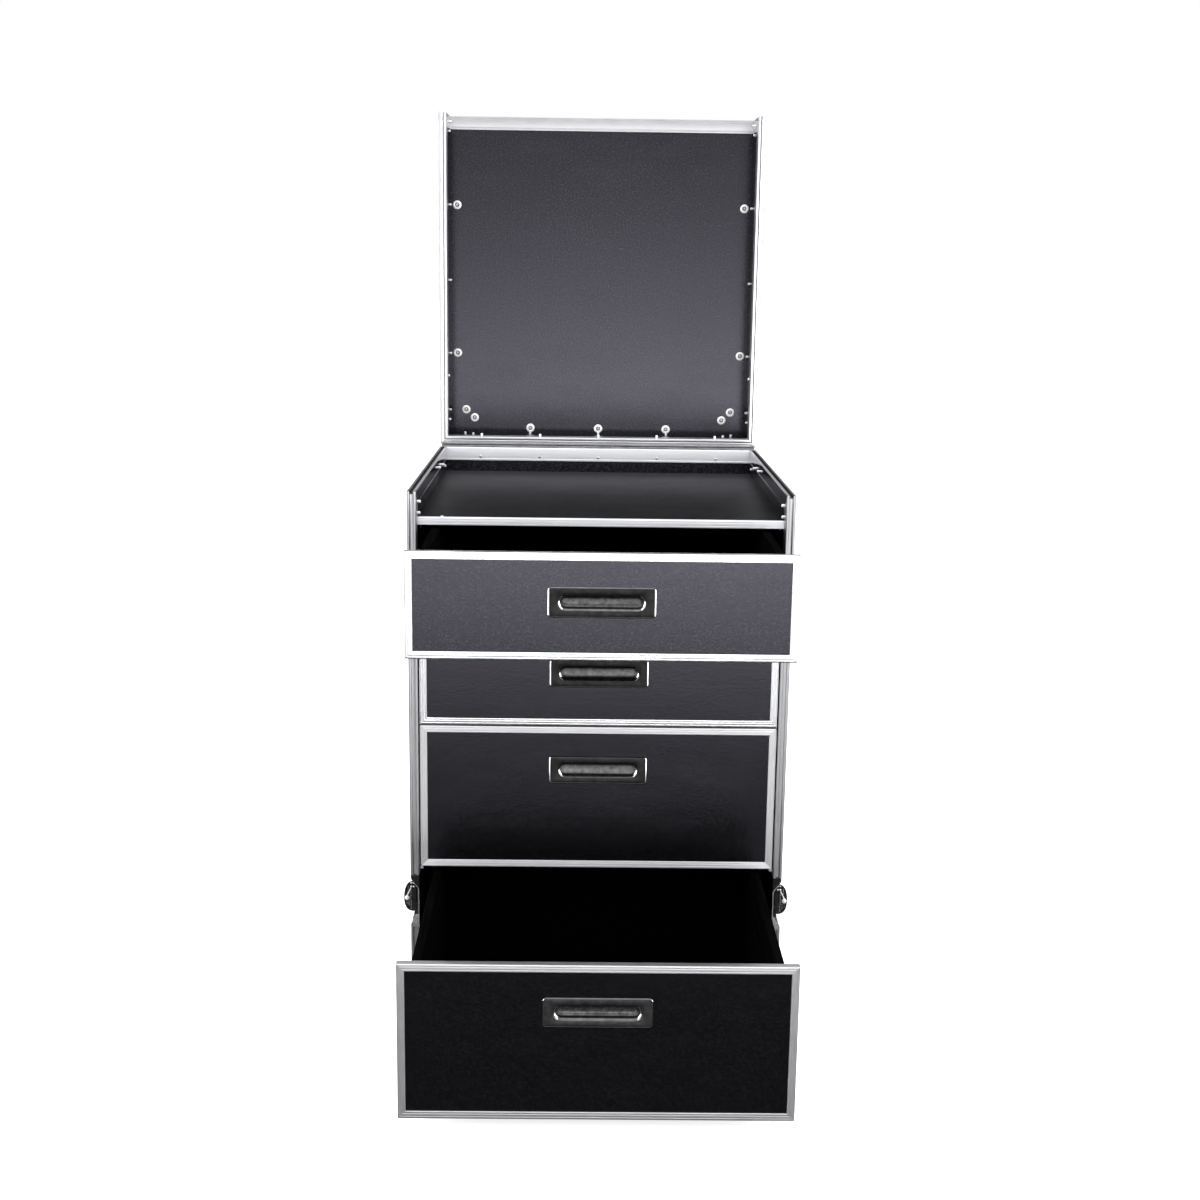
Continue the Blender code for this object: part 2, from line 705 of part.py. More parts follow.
# ================================================================ latches
POCKET_FLOOR = 12.5     # depth of the dish below the outer face
DISH_T = 1.2
for side, sign in (("left", -1), ("right", 1)):
    floor_in = sign * (HW - POCKET_FLOOR)
    floor_out = sign * (HW - POCKET_FLOOR - DISH_T)
    face = sign * HW
    flange = sign * (HW - 1.5)
    wall_y1 = pocket_y1 + DISH_T
    dish = [
        (face, flange, FRONT, dish_y1, pocket_z1, dish_z1),
        (face, flange, FRONT, dish_y1, dish_z0, pocket_z0),
        (face, flange, pocket_y1, dish_y1, dish_z0, dish_z1),
        (face, floor_out, FRONT, wall_y1, pocket_z1, pocket_z1 + DISH_T),
        (face, floor_out, FRONT, wall_y1, pocket_z0 - DISH_T, pocket_z0),
        (face, floor_out, pocket_y1, wall_y1, pocket_z0 - DISH_T, pocket_z1 + DISH_T),
        (floor_in, floor_out, FRONT, wall_y1, pocket_z0 - DISH_T, pocket_z1 + DISH_T),
        (face, floor_out, FRONT, FRONT + 1.5, pocket_z1, dish_z1),
        (face, floor_out, FRONT, FRONT + 1.5, dish_z0, pocket_z0),
    ]
    finish_object("latch_dish_" + side, blocks(dish), "chrome")

    axis_y = FRONT + LATCH_Y
    turn = axis_empty("latch_turn_axis_" + side, floor_in, axis_y, LATCH_Z)

    def out(depth):
        """X of a level this far above the floor of the dish."""
        return floor_in + sign * depth

    # Turning piece: bar with two lugs for the wing, round foot, hooked arm.
    lugs = []
    for z0, z1 in ((29.4, 33.0), (-33.0, -29.4)):
        lugs.append((out(3.0), out(9.6), axis_y - 3.6, axis_y + 3.6, LATCH_Z + z0, LATCH_Z + z1))
    body = [
        (out(2.4), out(4.7), axis_y - 4.2, axis_y + 4.2, LATCH_Z - 33.0, LATCH_Z + 33.0),
        (out(0.7), out(3.2), axis_y - 5.0, axis_y + 5.0, LATCH_Z, LATCH_Z + 33.4),
        (out(0.7), out(3.2), axis_y - 10.0, axis_y + 5.0, LATCH_Z + 28.0, LATCH_Z + 33.4),
    ]
    turner = finish_object("latch_turn_" + side, blocks(body + lugs), "steel", turn)
    boolean(
        turner,
        "UNION",
        "latch_foot_" + side,
        cylinder((out(1.9), axis_y, LATCH_Z), "X", 16.0, 3.0, 24),
        turn,
    )
    pivot_x = out(7.0)
    boolean(
        turner,
        "DIFFERENCE",
        "latch_bores_" + side,
        cylinder((pivot_x, axis_y, LATCH_Z), "Z", 1.7, 80.0, 12),
        turn,
    )

    # Wing: half-oval blade on a trunnion, standing up from the dish.
    wing_axis = axis_empty("latch_wing_axis_" + side, pivot_x, axis_y, LATCH_Z, turn)
    outline = []
    for i in range(19):
        angle = -math.pi / 2 + math.pi * i / 18
        outline.append(
            (
                pivot_x + sign * (WING_REACH * abs(math.cos(angle)) ** 0.8),
                LATCH_Z + WING_HALF_H * math.sin(angle),
            )
        )
    outline = [(pivot_x - sign * 1.4, LATCH_Z - WING_HALF_H)] + outline
    outline.append((pivot_x - sign * 1.4, LATCH_Z + WING_HALF_H))
    rings = []
    for dy, inset in ((-1.6, 0.5), (-1.1, 0.0), (1.1, 0.0), (1.6, 0.5)):
        ring = []
        for x, z in outline:
            cx = pivot_x + (x - pivot_x) * (1 - inset / WING_REACH)
            cz = LATCH_Z + (z - LATCH_Z) * (1 - inset / WING_HALF_H)
            ring.append((cx, axis_y + dy, cz))
        rings.append(ring)
    wing = finish_object("latch_wing_" + side, loft(rings), "steel", wing_axis)
    boolean(
        wing,
        "UNION",
        "latch_trunnion_" + side,
        cylinder((pivot_x, axis_y, LATCH_Z), "Z", 1.35, 65.4, 12),
        wing_axis,
    )


# ================================================================ drawers
def rounded_ring(half_w, half_h, radius, y, per_corner=6):
    """Ring of points of a rounded rectangle in the plane at depth y."""
    ring = []
    for cx, cz, start in (
        (half_w - radius, half_h - radius, 0.0),
        (-(half_w - radius), half_h - radius, 90.0),
        (-(half_w - radius), -(half_h - radius), 180.0),
        (half_w - radius, -(half_h - radius), 270.0),
    ):
        for i in range(per_corner + 1):
            angle = math.radians(start + 90.0 * i / per_corner)
            ring.append((cx + radius * math.cos(angle), y, cz + radius * math.sin(angle)))
    return ring


trim_profile = [
    (0.0, 0.5), (0.5, 0.0), (3.1, 0.0), (3.5, 0.4), (4.2, 0.4), (4.6, 0.0),
    (7.0, 0.0), (7.4, 0.4), (8.1, 0.4), (8.5, 0.0), (TRIM_W - 0.4, 0.0), (TRIM_W, 0.4),
    (TRIM_W, TRIM_T), (TRIM_T, TRIM_T), (TRIM_T, TRIM_DEPTH), (0.0, TRIM_DEPTH),
]

GAP_SIDE = side_x0 - BOX_HALF_W     # room between side board and drawer box

for number in (1, 2, 3, 4):
    top = DRAWER_TOPS[number - 1]
    bottom = top - DRAWER_HEIGHTS[number - 1]
    runner_z = bottom + RUNNER_RISE
    handle_z = top - HANDLE_DROP
    name = "drawer_%d" % number
    slide = axis_empty(name + "_slide", 0, FRONT, runner_z)

    finish_object(
        name + "_front_panel",
        blocks(
            [
                (
                    -(FRONT_HALF_W - FRONT_SET),
                    FRONT_HALF_W - FRONT_SET,
                    FRONT + FRONT_SET,
                    FRONT + FRONT_SET + FRONT_T,
                    bottom + FRONT_SET,
                    top - FRONT_SET,
                )
            ],
            [(-69, 69, FRONT, FRONT + 20, handle_z - 18, handle_z + 18)],
        ),
        "laminate",
        slide,
    )
    w = FRONT_HALF_W
    finish_object(
        name + "_front_trim",
        sweep(
            trim_profile,
            [
                ((-w, FRONT, bottom), (1, 0, 1), (0, 1, 0)),
                ((w, FRONT, bottom), (-1, 0, 1), (0, 1, 0)),
                ((w, FRONT, top), (-1, 0, -1), (0, 1, 0)),
                ((-w, FRONT, top), (1, 0, -1), (0, 1, 0)),
            ],
            closed=True,
        ),
        "aluminium",
        slide,
    )
    # Box of boards, open at the top, with a relief behind the pull.
    y0, y1 = FRONT + BOX_FRONT, FRONT + BOX_FRONT + BOX_LENGTH
    z0, z1 = bottom + BOX_BOTTOM_RISE, top - BOX_TOP_DROP
    finish_object(
        name + "_box",
        blocks(
            [(-BOX_HALF_W, BOX_HALF_W, y0, y1, z0, z1)],
            [
                (
                    -(BOX_HALF_W - DRAWER_BOARD),
                    BOX_HALF_W - DRAWER_BOARD,
                    y0 + DRAWER_BOARD,
                    y1 - DRAWER_BOARD,
                    z0 + DRAWER_BOTTOM,
                    z1 + 1,
                ),
                (-69, 69, y0 - 1, y0 + 6.0, handle_z - 18, handle_z + 18),
            ],
        ),
        "felt",
        slide,
    )
    # Flush pull: pressed plate with a round-ended finger slot and its cup.
    face = FRONT + 0.3
    rings = []
    for half_w, half_h, radius, depth in (
        (SLOT_W / 2 - 5.0, SLOT_H / 2 - 5.0, SLOT_H / 2 - 5.01, 13.2),
        (SLOT_W / 2 - 1.6, SLOT_H / 2 - 1.6, SLOT_H / 2 - 1.61, 11.6),
        (SLOT_W / 2 - 0.3, SLOT_H / 2 - 0.3, SLOT_H / 2 - 0.31, 8.5),
        (SLOT_W / 2 - 0.3, SLOT_H / 2 - 0.3, SLOT_H / 2 - 0.31, 1.2),
        (SLOT_W / 2 + 0.6, SLOT_H / 2 + 0.6, SLOT_H / 2 + 0.59, 0.35),
        (SLOT_W / 2 + 1.6, SLOT_H / 2 + 1.6, SLOT_H / 2 + 1.59, 0.0),
        (PLATE_W / 2 - 0.6, PLATE_H / 2 - 0.6, PLATE_R - 0.6, 0.0),
        (PLATE_W / 2, PLATE_H / 2, PLATE_R, 0.5),
        (PLATE_W / 2, PLATE_H / 2, PLATE_R, 1.2),
        (SLOT_W / 2 + 1.2, SLOT_H / 2 + 1.2, SLOT_H / 2 + 1.19, 1.2),
        (SLOT_W / 2 + 1.2, SLOT_H / 2 + 1.2, SLOT_H / 2 + 1.19, 9.5),
        (SLOT_W / 2 - 1.0, SLOT_H / 2 - 1.0, SLOT_H / 2 - 1.01, 13.0),
        (SLOT_W / 2 - 5.0, SLOT_H / 2 - 5.0, SLOT_H / 2 - 5.01, 14.4),
    ):
        ring = rounded_ring(half_w, half_h, radius, face + depth)
        rings.append([(x, y, handle_z + z) for x, y, z in ring])
    finish_object(name + "_handle", loft(rings), "chrome", slide, smooth=True)

    # Runners: a channel on stand-off feet on the side board, and the bar that
    # slides in it on the drawer. s is the distance from the side board.
    for side, sign in (("left", -1), ("right", 1)):
        def runner_block(s0, s1, z0, z1, start, length):
            x0, x1 = sign * (side_x0 - s0), sign * (side_x0 - s1)
            return (x0, x1, FRONT + start, FRONT + start + length, runner_z + z0, runner_z + z1)

        start, length = RUNNER_FRONT, RUNNER_LENGTH
        channel = [runner_block(12.0, 13.5, -22.5, 22.5, start, length)]
        for k in (-1, 1):
            channel += [
                runner_block(13.0, 23.2, k * 21.0, k * 22.5, start, length),
                runner_block(21.7, 23.2, k * 19.4, k * 22.0, start, length),
                runner_block(0.3, 12.5, k * 14.5, k * 16.0, start, length),
                runner_block(0.3, 1.8, k * 15.0, k * 27.0, start, length),
            ]
        finish_object("runner_%d_%s" % (number, side), blocks(channel), "zinc")
        bar = [runner_block(22.9, GAP_SIDE - GAP, -18.0, 18.0, start - 2.0, length)]
        for k in (-1, 1):
            bar += [
                runner_block(14.6, 23.2, k * 16.5, k * 18.0, start - 2.0, length),
                runner_block(17.0, 20.6, k * 17.5, k * 20.6, start - 2.0, length),
            ]
        finish_object(name + "_runner_" + side, blocks(bar), "zinc", slide)

    # The drawer's own pose: pulled out towards -Y.
    slide[0].location.y -= DRAWER_OPEN[number - 1] * MM

# The lid's own pose: swung up about the hinge.
hinge_lid[0].rotation_euler.x = -math.radians(LID_OPEN_DEG)
bpy.context.view_layer.update()
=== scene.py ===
"""Looks of the production case: camera, studio light, procedural finishes and
the fine pieces (mitred rail lengths, edgings, pulls, latches, caps, fasteners).

Lengths are millimetres until a mesh is finished; every piece is drawn where it
is at rest, in the frame of the case (+Z up, front faces -Y).
"""

import math

import bmesh
import bpy
from mathutils import Matrix, Vector


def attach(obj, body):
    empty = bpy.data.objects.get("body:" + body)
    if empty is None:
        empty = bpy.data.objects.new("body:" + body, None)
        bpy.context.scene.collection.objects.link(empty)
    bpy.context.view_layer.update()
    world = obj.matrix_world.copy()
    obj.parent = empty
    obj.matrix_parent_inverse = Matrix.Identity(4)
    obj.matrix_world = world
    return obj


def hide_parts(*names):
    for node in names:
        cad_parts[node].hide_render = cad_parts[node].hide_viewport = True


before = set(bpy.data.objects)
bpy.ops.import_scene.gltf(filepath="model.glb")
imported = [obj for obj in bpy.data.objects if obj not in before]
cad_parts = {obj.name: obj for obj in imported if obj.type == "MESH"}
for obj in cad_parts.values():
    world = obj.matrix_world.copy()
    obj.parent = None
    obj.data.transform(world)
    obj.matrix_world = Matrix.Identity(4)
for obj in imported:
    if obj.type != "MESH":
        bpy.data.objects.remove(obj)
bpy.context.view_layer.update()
scene = bpy.context.scene
MM = 0.001

# ---------------------------------------------------------------- dimensions
HW, HD = 300.0, 303.0
FRONT, REAR = -HD, HD
CASE_H, LID_H, GAP, RIM_GAP = 866.0, 105.3, 0.3, 0.3
LID_Z0 = CASE_H + RIM_GAP
LID_Z1 = LID_Z0 + LID_H
HINGE_Y, HINGE_Z = 306.8, 866.15
RAIL_W, LEG_T, LEG_OUT, LEG_IN, WEB = 14.6, 2.0, 30.0, 24.5, 7.2
GROOVE_0, GROOVE_1, GROOVE_D = 4.3, 9.7, 5.0
TONGUE_0, TONGUE_1, TONGUE_H = 5.2, 8.8, 3.5
BOARD_0, PANEL = LEG_T + GAP, 10.0
BOARD_1, BOARD_EDGE = BOARD_0 + PANEL, WEB + GAP
SIDE_IN = HW - BOARD_1
DRAWER_TOPS = (810.0, 651.3, 492.6, 253.3)
DRAWER_HEIGHTS = (157.0, 157.0, 235.3, 235.3)
DRAWER_OPEN = (210.5, 0.0, 0.0, 366.0)
FRONT_HALF_W, TRIM_W, TRIM_T, TRIM_DEPTH = 282.8, 11.3, 1.5, 12.0
BOX_HALF_W, BOX_FRONT, BOX_LENGTH, BOX_BOARD, BOX_FLOOR = 263.0, 11.1, 520.0, 12.0, 6.0
PLATE_W, PLATE_H, PLATE_R, SLOT_W, SLOT_H = 155.0, 45.0, 5.0, 126.0, 24.0
LATCH_Z, DISH_HALF, LATCH_Y = 197.0, 44.0, 28.0
SEAM = 0.12             # each mitred length stops this short of the mitre

LID_OPEN = (
    Matrix.Translation((0, HINGE_Y, HINGE_Z))
    @ Matrix.Rotation(-math.pi / 2, 4, "X")
    @ Matrix.Translation((0, -HINGE_Y, -HINGE_Z))
)


# ================================================================ materials
class Finish:
    """A material built on one Principled shader, with noise in object space."""

    def __init__(self, name, metallic, roughness, specular=0.5, coat=0.0, coat_rough=0.1):
        self.mat = bpy.data.materials.new(name)
        self.mat.use_nodes = True
        self.tree = self.mat.node_tree
        self.bsdf = self.tree.nodes["Principled BSDF"]
        self.bsdf.inputs["Metallic"].default_value = metallic
        self.bsdf.inputs["Roughness"].default_value = roughness
        self.bsdf.inputs["Specular IOR Level"].default_value = specular
        self.bsdf.inputs["Coat Weight"].default_value = coat
        self.bsdf.inputs["Coat Roughness"].default_value = coat_rough
        self.coords = self.tree.nodes.new("ShaderNodeTexCoord")
        self.last_bump = None

    def link(self, a, b):
        self.tree.links.new(a, b)

    def mapped(self, stretch):
        node = self.tree.nodes.new("ShaderNodeMapping")
        node.inputs["Scale"].default_value = stretch
        self.link(self.coords.outputs["Object"], node.inputs["Vector"])
        return node.outputs["Vector"]

    def noise(self, scale, detail=3.0, rough=0.5, stretch=(1, 1, 1), distortion=0.0):
        node = self.tree.nodes.new("ShaderNodeTexNoise")
        node.inputs["Scale"].default_value = scale
        node.inputs["Detail"].default_value = detail
        node.inputs["Roughness"].default_value = rough
        node.inputs["Distortion"].default_value = distortion
        self.link(self.mapped(stretch), node.inputs["Vector"])
        return node.outputs["Fac"]

    def cells(self, scale, stretch=(1, 1, 1), feature="F1", randomness=1.0):
        node = self.tree.nodes.new("ShaderNodeTexVoronoi")
        node.feature = feature
        node.inputs["Scale"].default_value = scale
        node.inputs["Randomness"].default_value = randomness
        self.link(self.mapped(stretch), node.inputs["Vector"])
        return node.outputs["Distance"]

    def spread(self, socket, from_lo, from_hi, to_lo, to_hi):
        node = self.tree.nodes.new("ShaderNodeMapRange")
        node.inputs["From Min"].default_value = from_lo
        node.inputs["From Max"].default_value = from_hi
        node.inputs["To Min"].default_value = to_lo
        node.inputs["To Max"].default_value = to_hi
        self.link(socket, node.inputs["Value"])
        return node.outputs["Result"]

    def math(self, operation, a, b):
        node = self.tree.nodes.new("ShaderNodeMath")
        node.operation = operation
        for i, x in enumerate((a, b)):
            if isinstance(x, (int, float)):
                node.inputs[i].default_value = x
            else:
                self.link(x, node.inputs[i])
        return node.outputs[0]

    def blend(self, factor, a, b):
        node = self.tree.nodes.new("ShaderNodeMix")
        node.data_type = "RGBA"
        self.link(factor, node.inputs["Factor"])
        for key, x in (("A", a), ("B", b)):
            target = [s for s in node.inputs if s.name == key and s.type == "RGBA"][0]
            if isinstance(x, (tuple, list)):
                target.default_value = (*x, 1.0)
            else:
                self.link(x, target)
        return [s for s in node.outputs if s.type == "RGBA"][0]

    def color(self, socket):
        self.link(socket, self.bsdf.inputs["Base Color"])

    def roughness(self, socket):
        self.link(socket, self.bsdf.inputs["Roughness"])

    def bump(self, height, distance, strength=1.0):
        node = self.tree.nodes.new("ShaderNodeBump")
        node.inputs["Distance"].default_value = distance
        node.inputs["Strength"].default_value = strength
        self.link(height, node.inputs["Height"])
        if self.last_bump is not None:
            self.link(self.last_bump, node.inputs["Normal"])
        self.last_bump = node.outputs["Normal"]
        self.link(self.last_bump, self.bsdf.inputs["Normal"])


def laminate(name, rough=(0.13, 0.21), specular=0.5, tint=1.0, rear_reflection=None, fleck=0.0200):
    """Black melamine-faced board: fine pebbled grain, faint purple-blue cast,
    a little mottling and handling marks."""
    f = Finish(name, 0.0, sum(rough) / 2, specular=specular)
    f.bsdf.inputs["Specular Tint"].default_value = (0.86, 0.84, 1.0, 1.0)
    fine = f.noise(620.0, 2.0, 0.6)
    broad = f.noise(46.0, 4.0, 0.6)
    speck = f.cells(900.0)
    dark = f.blend(
        f.spread(fine, 0.3, 0.72, 0.0, 1.0),
        (0.0009 * tint, 0.0009 * tint, 0.0010 * tint),
        (0.0034 * tint, 0.0033 * tint, 0.0037 * tint),
    )
    tone = f.blend(f.spread(broad, 0.35, 0.75, 0.0, 0.35), dark, (0.0030 * tint, 0.0029 * tint, 0.0033 * tint))
    pale = f.spread(f.noise(290.0, 2.0, 0.7), 0.48, 0.66, 0.0, 1.0)
    tone = f.blend(pale, tone, (fleck, fleck * 0.98, fleck * 1.10))
    # Optional painted reflection: toward the rear (+Y) the colour is mixed to a lighter tone, as if the rear rail and
    # lid shone onto the board.
    if rear_reflection:
        split = f.tree.nodes.new("ShaderNodeSeparateXYZ")
        f.link(f.coords.outputs["Object"], split.inputs[0])
        rear_reflection_mask = f.math("MULTIPLY", f.spread(split.outputs["Y"], -0.05, 0.30, 0.0, 1.0), f.spread(fine, 0.25, 0.75, 0.7, 1.0))
        tone = f.blend(rear_reflection_mask, tone, rear_reflection)
    f.color(tone)
    marks = f.noise(9.0, 6.0, 0.7, stretch=(1.0, 1.0, 3.0))
    rough = f.math("ADD", f.spread(fine, 0.3, 0.7, rough[0], rough[1]), f.spread(marks, 0.45, 0.8, 0.0, 0.05))
    f.roughness(rough)
    f.bump(f.noise(330.0, 3.0, 0.65), 0.0002, 0.5)
    f.bump(speck, 0.00006, 0.25)
    f.bump(fine, 0.00004, 0.25)
    return f.mat


STRETCH = {"X": (0.02, 1.0, 1.0), "Y": (1.0, 0.02, 1.0), "Z": (1.0, 1.0, 0.02)}
SHORT = {"X": (0.3, 1.0, 1.0), "Y": (1.0, 0.3, 1.0), "Z": (1.0, 1.0, 0.3)}


def aluminium(name, way, low=(0.76, 0.76, 0.78), high=(0.88, 0.88, 0.90), rough=(0.26, 0.34)):
    """Satin anodised extrusion with die lines along its length."""
    f = Finish(name, 1.0, 0.34, specular=0.5)
    lines = f.noise(2300.0, 2.0, 0.55, stretch=STRETCH[way])
    cloud = f.noise(28.0, 4.0, 0.6)
    nick = f.noise(900.0, 4.0, 0.7, stretch=SHORT[way])
    tone = f.blend(f.spread(lines, 0.3, 0.7, 0.0, 1.0), low, high)
    grime = f.spread(nick, 0.66, 0.80, 0.0, 0.28)
    tone = f.blend(grime, tone, (0.52, 0.52, 0.53))
    f.color(f.blend(f.spread(cloud, 0.40, 0.80, 0.0, 0.10), tone, (0.72, 0.72, 0.74)))
    f.roughness(
        f.math(
            "ADD",
            f.spread(lines, 0.3, 0.7, rough[0], rough[1]),
            f.spread(cloud, 0.4, 0.75, 0.0, 0.05),
        )
    )
    f.bump(lines, 0.000012, 0.4)
    f.bump(nick, 0.00001, 0.25)
    return f.mat


def plated(name, low, high, rough, scale=240.0, pit=0.00003, streak=None, clouds=34.0, metallic=1.0, specular=0.5):
    """Plated steel: cloudy roughness, faint pitting, optional rolling streaks."""
    f = Finish(name, metallic, sum(rough) / 2, specular=specular)
    cloud = f.noise(clouds, 5.0, 0.65)
    fine = f.noise(scale * 4, 3.0, 0.6, stretch=streak or (1, 1, 1))
    spots = f.noise(scale, 5.0, 0.7)
    tone = f.blend(f.spread(cloud, 0.32, 0.70, 0.0, 1.0), low, high)
    f.color(f.blend(f.spread(spots, 0.62, 0.80, 0.0, 0.5), tone, tuple(x * 0.6 for x in low)))
    f.roughness(
        f.math("ADD", f.spread(fine, 0.3, 0.7, rough[0], rough[1]), f.spread(spots, 0.6, 0.8, 0.0, 0.12))
    )
    f.bump(fine, pit, 0.5)
    return f.mat


def painted_ply(name):
    """Plywood painted matt black: grain just telegraphs through the paint."""
    f = Finish(name, 0.0, 0.86, specular=0.0)
    grain = f.noise(150.0, 5.0, 0.65, stretch=(1.0, 0.05, 1.0), distortion=0.4)
    speckle = f.noise(900.0, 2.0, 0.5)
    f.color(f.blend(f.spread(grain, 0.35, 0.7, 0.0, 1.0), (0.0009, 0.0009, 0.0010), (0.0030, 0.0029, 0.0029)))
    f.roughness(f.spread(speckle, 0.3, 0.7, 0.78, 0.94))
    f.bump(grain, 0.0002, 0.35)
    f.bump(speckle, 0.00008, 0.4)
    return f.mat


LAMINATE = laminate("laminate_black")
# Shaded copy for drawer fronts 2 to 4, with fewer pale flecks: painted shade.
LAMINATE_LOW = laminate("laminate_black_shaded_copy", fleck=0.0060)
# The table's copy gets the painted reflection, lighter toward its rear.
TABLE = laminate("laminate_table", (0.34, 0.44), 0.03, 1.2, (0.034, 0.033, 0.040), fleck=0.009)
ALU = {way: aluminium("aluminium_along_" + way, way) for way in "XYZ"}
# Darker copy of the rail aluminium for the front uprights and the sill rail: painted shade.
UPRIGHT = {way: aluminium("uprights_along_" + way, way, (0.36, 0.36, 0.372), (0.44, 0.44, 0.452), (0.28, 0.36)) for way in "XZ"}
# Lit and shaded copies of the edging aluminium, one per drawer and per direction (lengths along X mostly lighter than
# those along Z), and a lighter one for drawer 3's bottom length: painted light and shade.
TRIM = {
    "X": aluminium("edging_along_X", "X", (0.78, 0.78, 0.79), (0.88, 0.88, 0.89), (0.20, 0.27)),
    "Z": aluminium("edging_along_Z", "Z", (0.50, 0.50, 0.515), (0.60, 0.60, 0.615), (0.22, 0.30)),
}
TRIM_TOP = {
    "X": aluminium("edging_top_along_X", "X", (0.90, 0.91, 0.92), (0.97, 0.98, 0.99), (0.20, 0.27)),
    "Z": aluminium("edging_top_along_Z", "Z", (0.62, 0.63, 0.64), (0.72, 0.73, 0.74), (0.22, 0.30)),
}
TRIM_LOW = {
    "X": aluminium("edging_low_along_X", "X", (0.62, 0.62, 0.635), (0.72, 0.72, 0.735), (0.36, 0.44)),
    "Z": aluminium("edging_low_along_Z", "Z", (0.55, 0.55, 0.56), (0.64, 0.64, 0.65), (0.36, 0.44)),
}
TRIM_SILL = {"X": aluminium("edging_sill_along_X", "X", (0.88, 0.89, 0.92), (0.95, 0.96, 0.99), (0.54, 0.64))}
TRIM_LAST = {
    way: aluminium("edging_last_along_" + way, way, (0.56, 0.56, 0.57), (0.66, 0.66, 0.67), (0.34, 0.42))
    for way in "XZ"
}
# Lighter copy of the rail aluminium for the rear rim rail and the table edging: painted light.
ALU_LIT = aluminium("aluminium_lit_along_X", "X", (0.90, 0.91, 0.94), (0.97, 0.98, 1.0), (0.52, 0.62))
# Darker copy for the long front rail of the lid: painted shade.
LID_LONG = aluminium("lid_long_shaded_along_X", "X", (0.40, 0.40, 0.41), (0.49, 0.49, 0.50), (0.28, 0.36))
PLY = painted_ply("painted_plywood")
CHROME = plated("pull_dark_chrome", (0.075, 0.075, 0.077), (0.12, 0.12, 0.122), (0.12, 0.20), 300.0, 0.00001)
LACQUER = plated("pull_lacquer", (0.020, 0.020, 0.020), (0.044, 0.044, 0.044), (0.38, 0.50), 260.0, 0.00003, clouds=90.0)
# Lighter copy of the lacquered field for drawer 4: painted light.
LACQUER_LOW = plated("pull_lacquer_lit_copy", (0.036, 0.036, 0.036), (0.075, 0.075, 0.075), (0.42, 0.54), 260.0, 0.00003, clouds=90.0)
CUP = plated("pull_cup_plate", (0.034, 0.034, 0.034), (0.130, 0.130, 0.130), (0.24, 0.38), 170.0, 0.00008, clouds=130.0)
# Lighter copy of the cup plate for drawers 2 and 3: painted light.
CUP_MID = plated("pull_cup_lit_copy", (0.09, 0.09, 0.09), (0.23, 0.23, 0.23), (0.36, 0.50), 170.0, 0.00008, clouds=130.0)
# Near-black copy for the faces inside the rail groove and at the foot of the lid's tongue: painted shade.
GROOVE = plated("groove_painted_shade", (0.04, 0.04, 0.04), (0.10, 0.10, 0.10), (0.40, 0.55))
# Darker copy for the outer lip of the rim rails: painted shade.
LIP_SHADE = plated("outer_lip_painted_shade", (0.17, 0.17, 0.165), (0.34, 0.34, 0.335), (0.36, 0.50), 420.0, 0.00004, clouds=90.0)
# Darker copy for the inner face of the side rim lengths: painted shade.
INNER = aluminium("rim_inner_face_shaded_along_Y", "Y", (0.40, 0.39, 0.43), (0.52, 0.51, 0.56), (0.07, 0.11))
# Near-black copy for the well of the cup washers: painted shade.
WELL_SHADE = plated("washer_well_painted_shade", (0.015, 0.015, 0.015), (0.05, 0.05, 0.05), (0.35, 0.50), 500.0, 0.00002)
ZINC = plated("runner_zinc_plate", (0.36, 0.37, 0.39), (0.52, 0.53, 0.54), (0.28, 0.42), streak=(1.0, 0.03, 1.0))
# Darkened copy of the zinc plate for the hinge, so it reads as the dark line of the lid gap: painted shade.
HINGE = plated("hinge_zinc_painted_shade", (0.10, 0.10, 0.105), (0.20, 0.20, 0.205), (0.30, 0.42), streak=(0.03, 1.0, 1.0))
CAP = plated("corner_bright_plate", (0.66, 0.66, 0.68), (0.80, 0.80, 0.82), (0.16, 0.28))
# Near-black copy for the deep faces of the latch pocket: painted shade.
POCKET = plated("dish_pocket_painted_shade", (0.004, 0.004, 0.004), (0.016, 0.016, 0.016), (0.50, 0.70), 420.0, 0.00006, metallic=0.0, specular=0.12)
# Bright copy of the pull's chrome for its left and right rims and the ends of the slot: painted highlights.
PULL_HIGHLIGHT = plated("pull_chrome_painted_highlight", (0.52, 0.52, 0.53), (0.66, 0.66, 0.67), (0.10, 0.16), 300.0, 0.00001)
ROLL = plated("pull_roll_worn", (0.06, 0.06, 0.06), (0.14, 0.14, 0.14), (0.28, 0.42), 260.0, 0.00004, clouds=110.0)
DISH = plated("dish_bright_plate", (0.52, 0.52, 0.54), (0.70, 0.70, 0.72), (0.20, 0.32))
WING = plated("wing_dark_plate", (0.006, 0.006, 0.006), (0.05, 0.05, 0.051), (0.22, 0.40), 520.0, 0.0001, clouds=230.0, metallic=0.7, specular=0.3)
LATCH = plated("latch_blackened", (0.010, 0.010, 0.010), (0.035, 0.035, 0.036), (0.30, 0.45), 420.0, 0.00006, metallic=0.6, specular=0.25)
RIVET = plated("rivet_aluminium", (0.80, 0.80, 0.81), (0.92, 0.92, 0.93), (0.28, 0.40), 500.0, 0.00002, metallic=0.45)
SCREW = plated("screw_zinc", (0.40, 0.40, 0.42), (0.60, 0.60, 0.62), (0.24, 0.36), 500.0, 0.00002)
# Near-white, barely metallic copy for washers, studs, the spring and the dish lips, so these small parts read as bright
# dots: painted highlight.
WASHER = plated("washer_zinc_painted_highlight", (0.93, 0.93, 0.93), (1.0, 1.0, 1.0), (0.30, 0.44), 400.0, 0.00002, metallic=0.1)

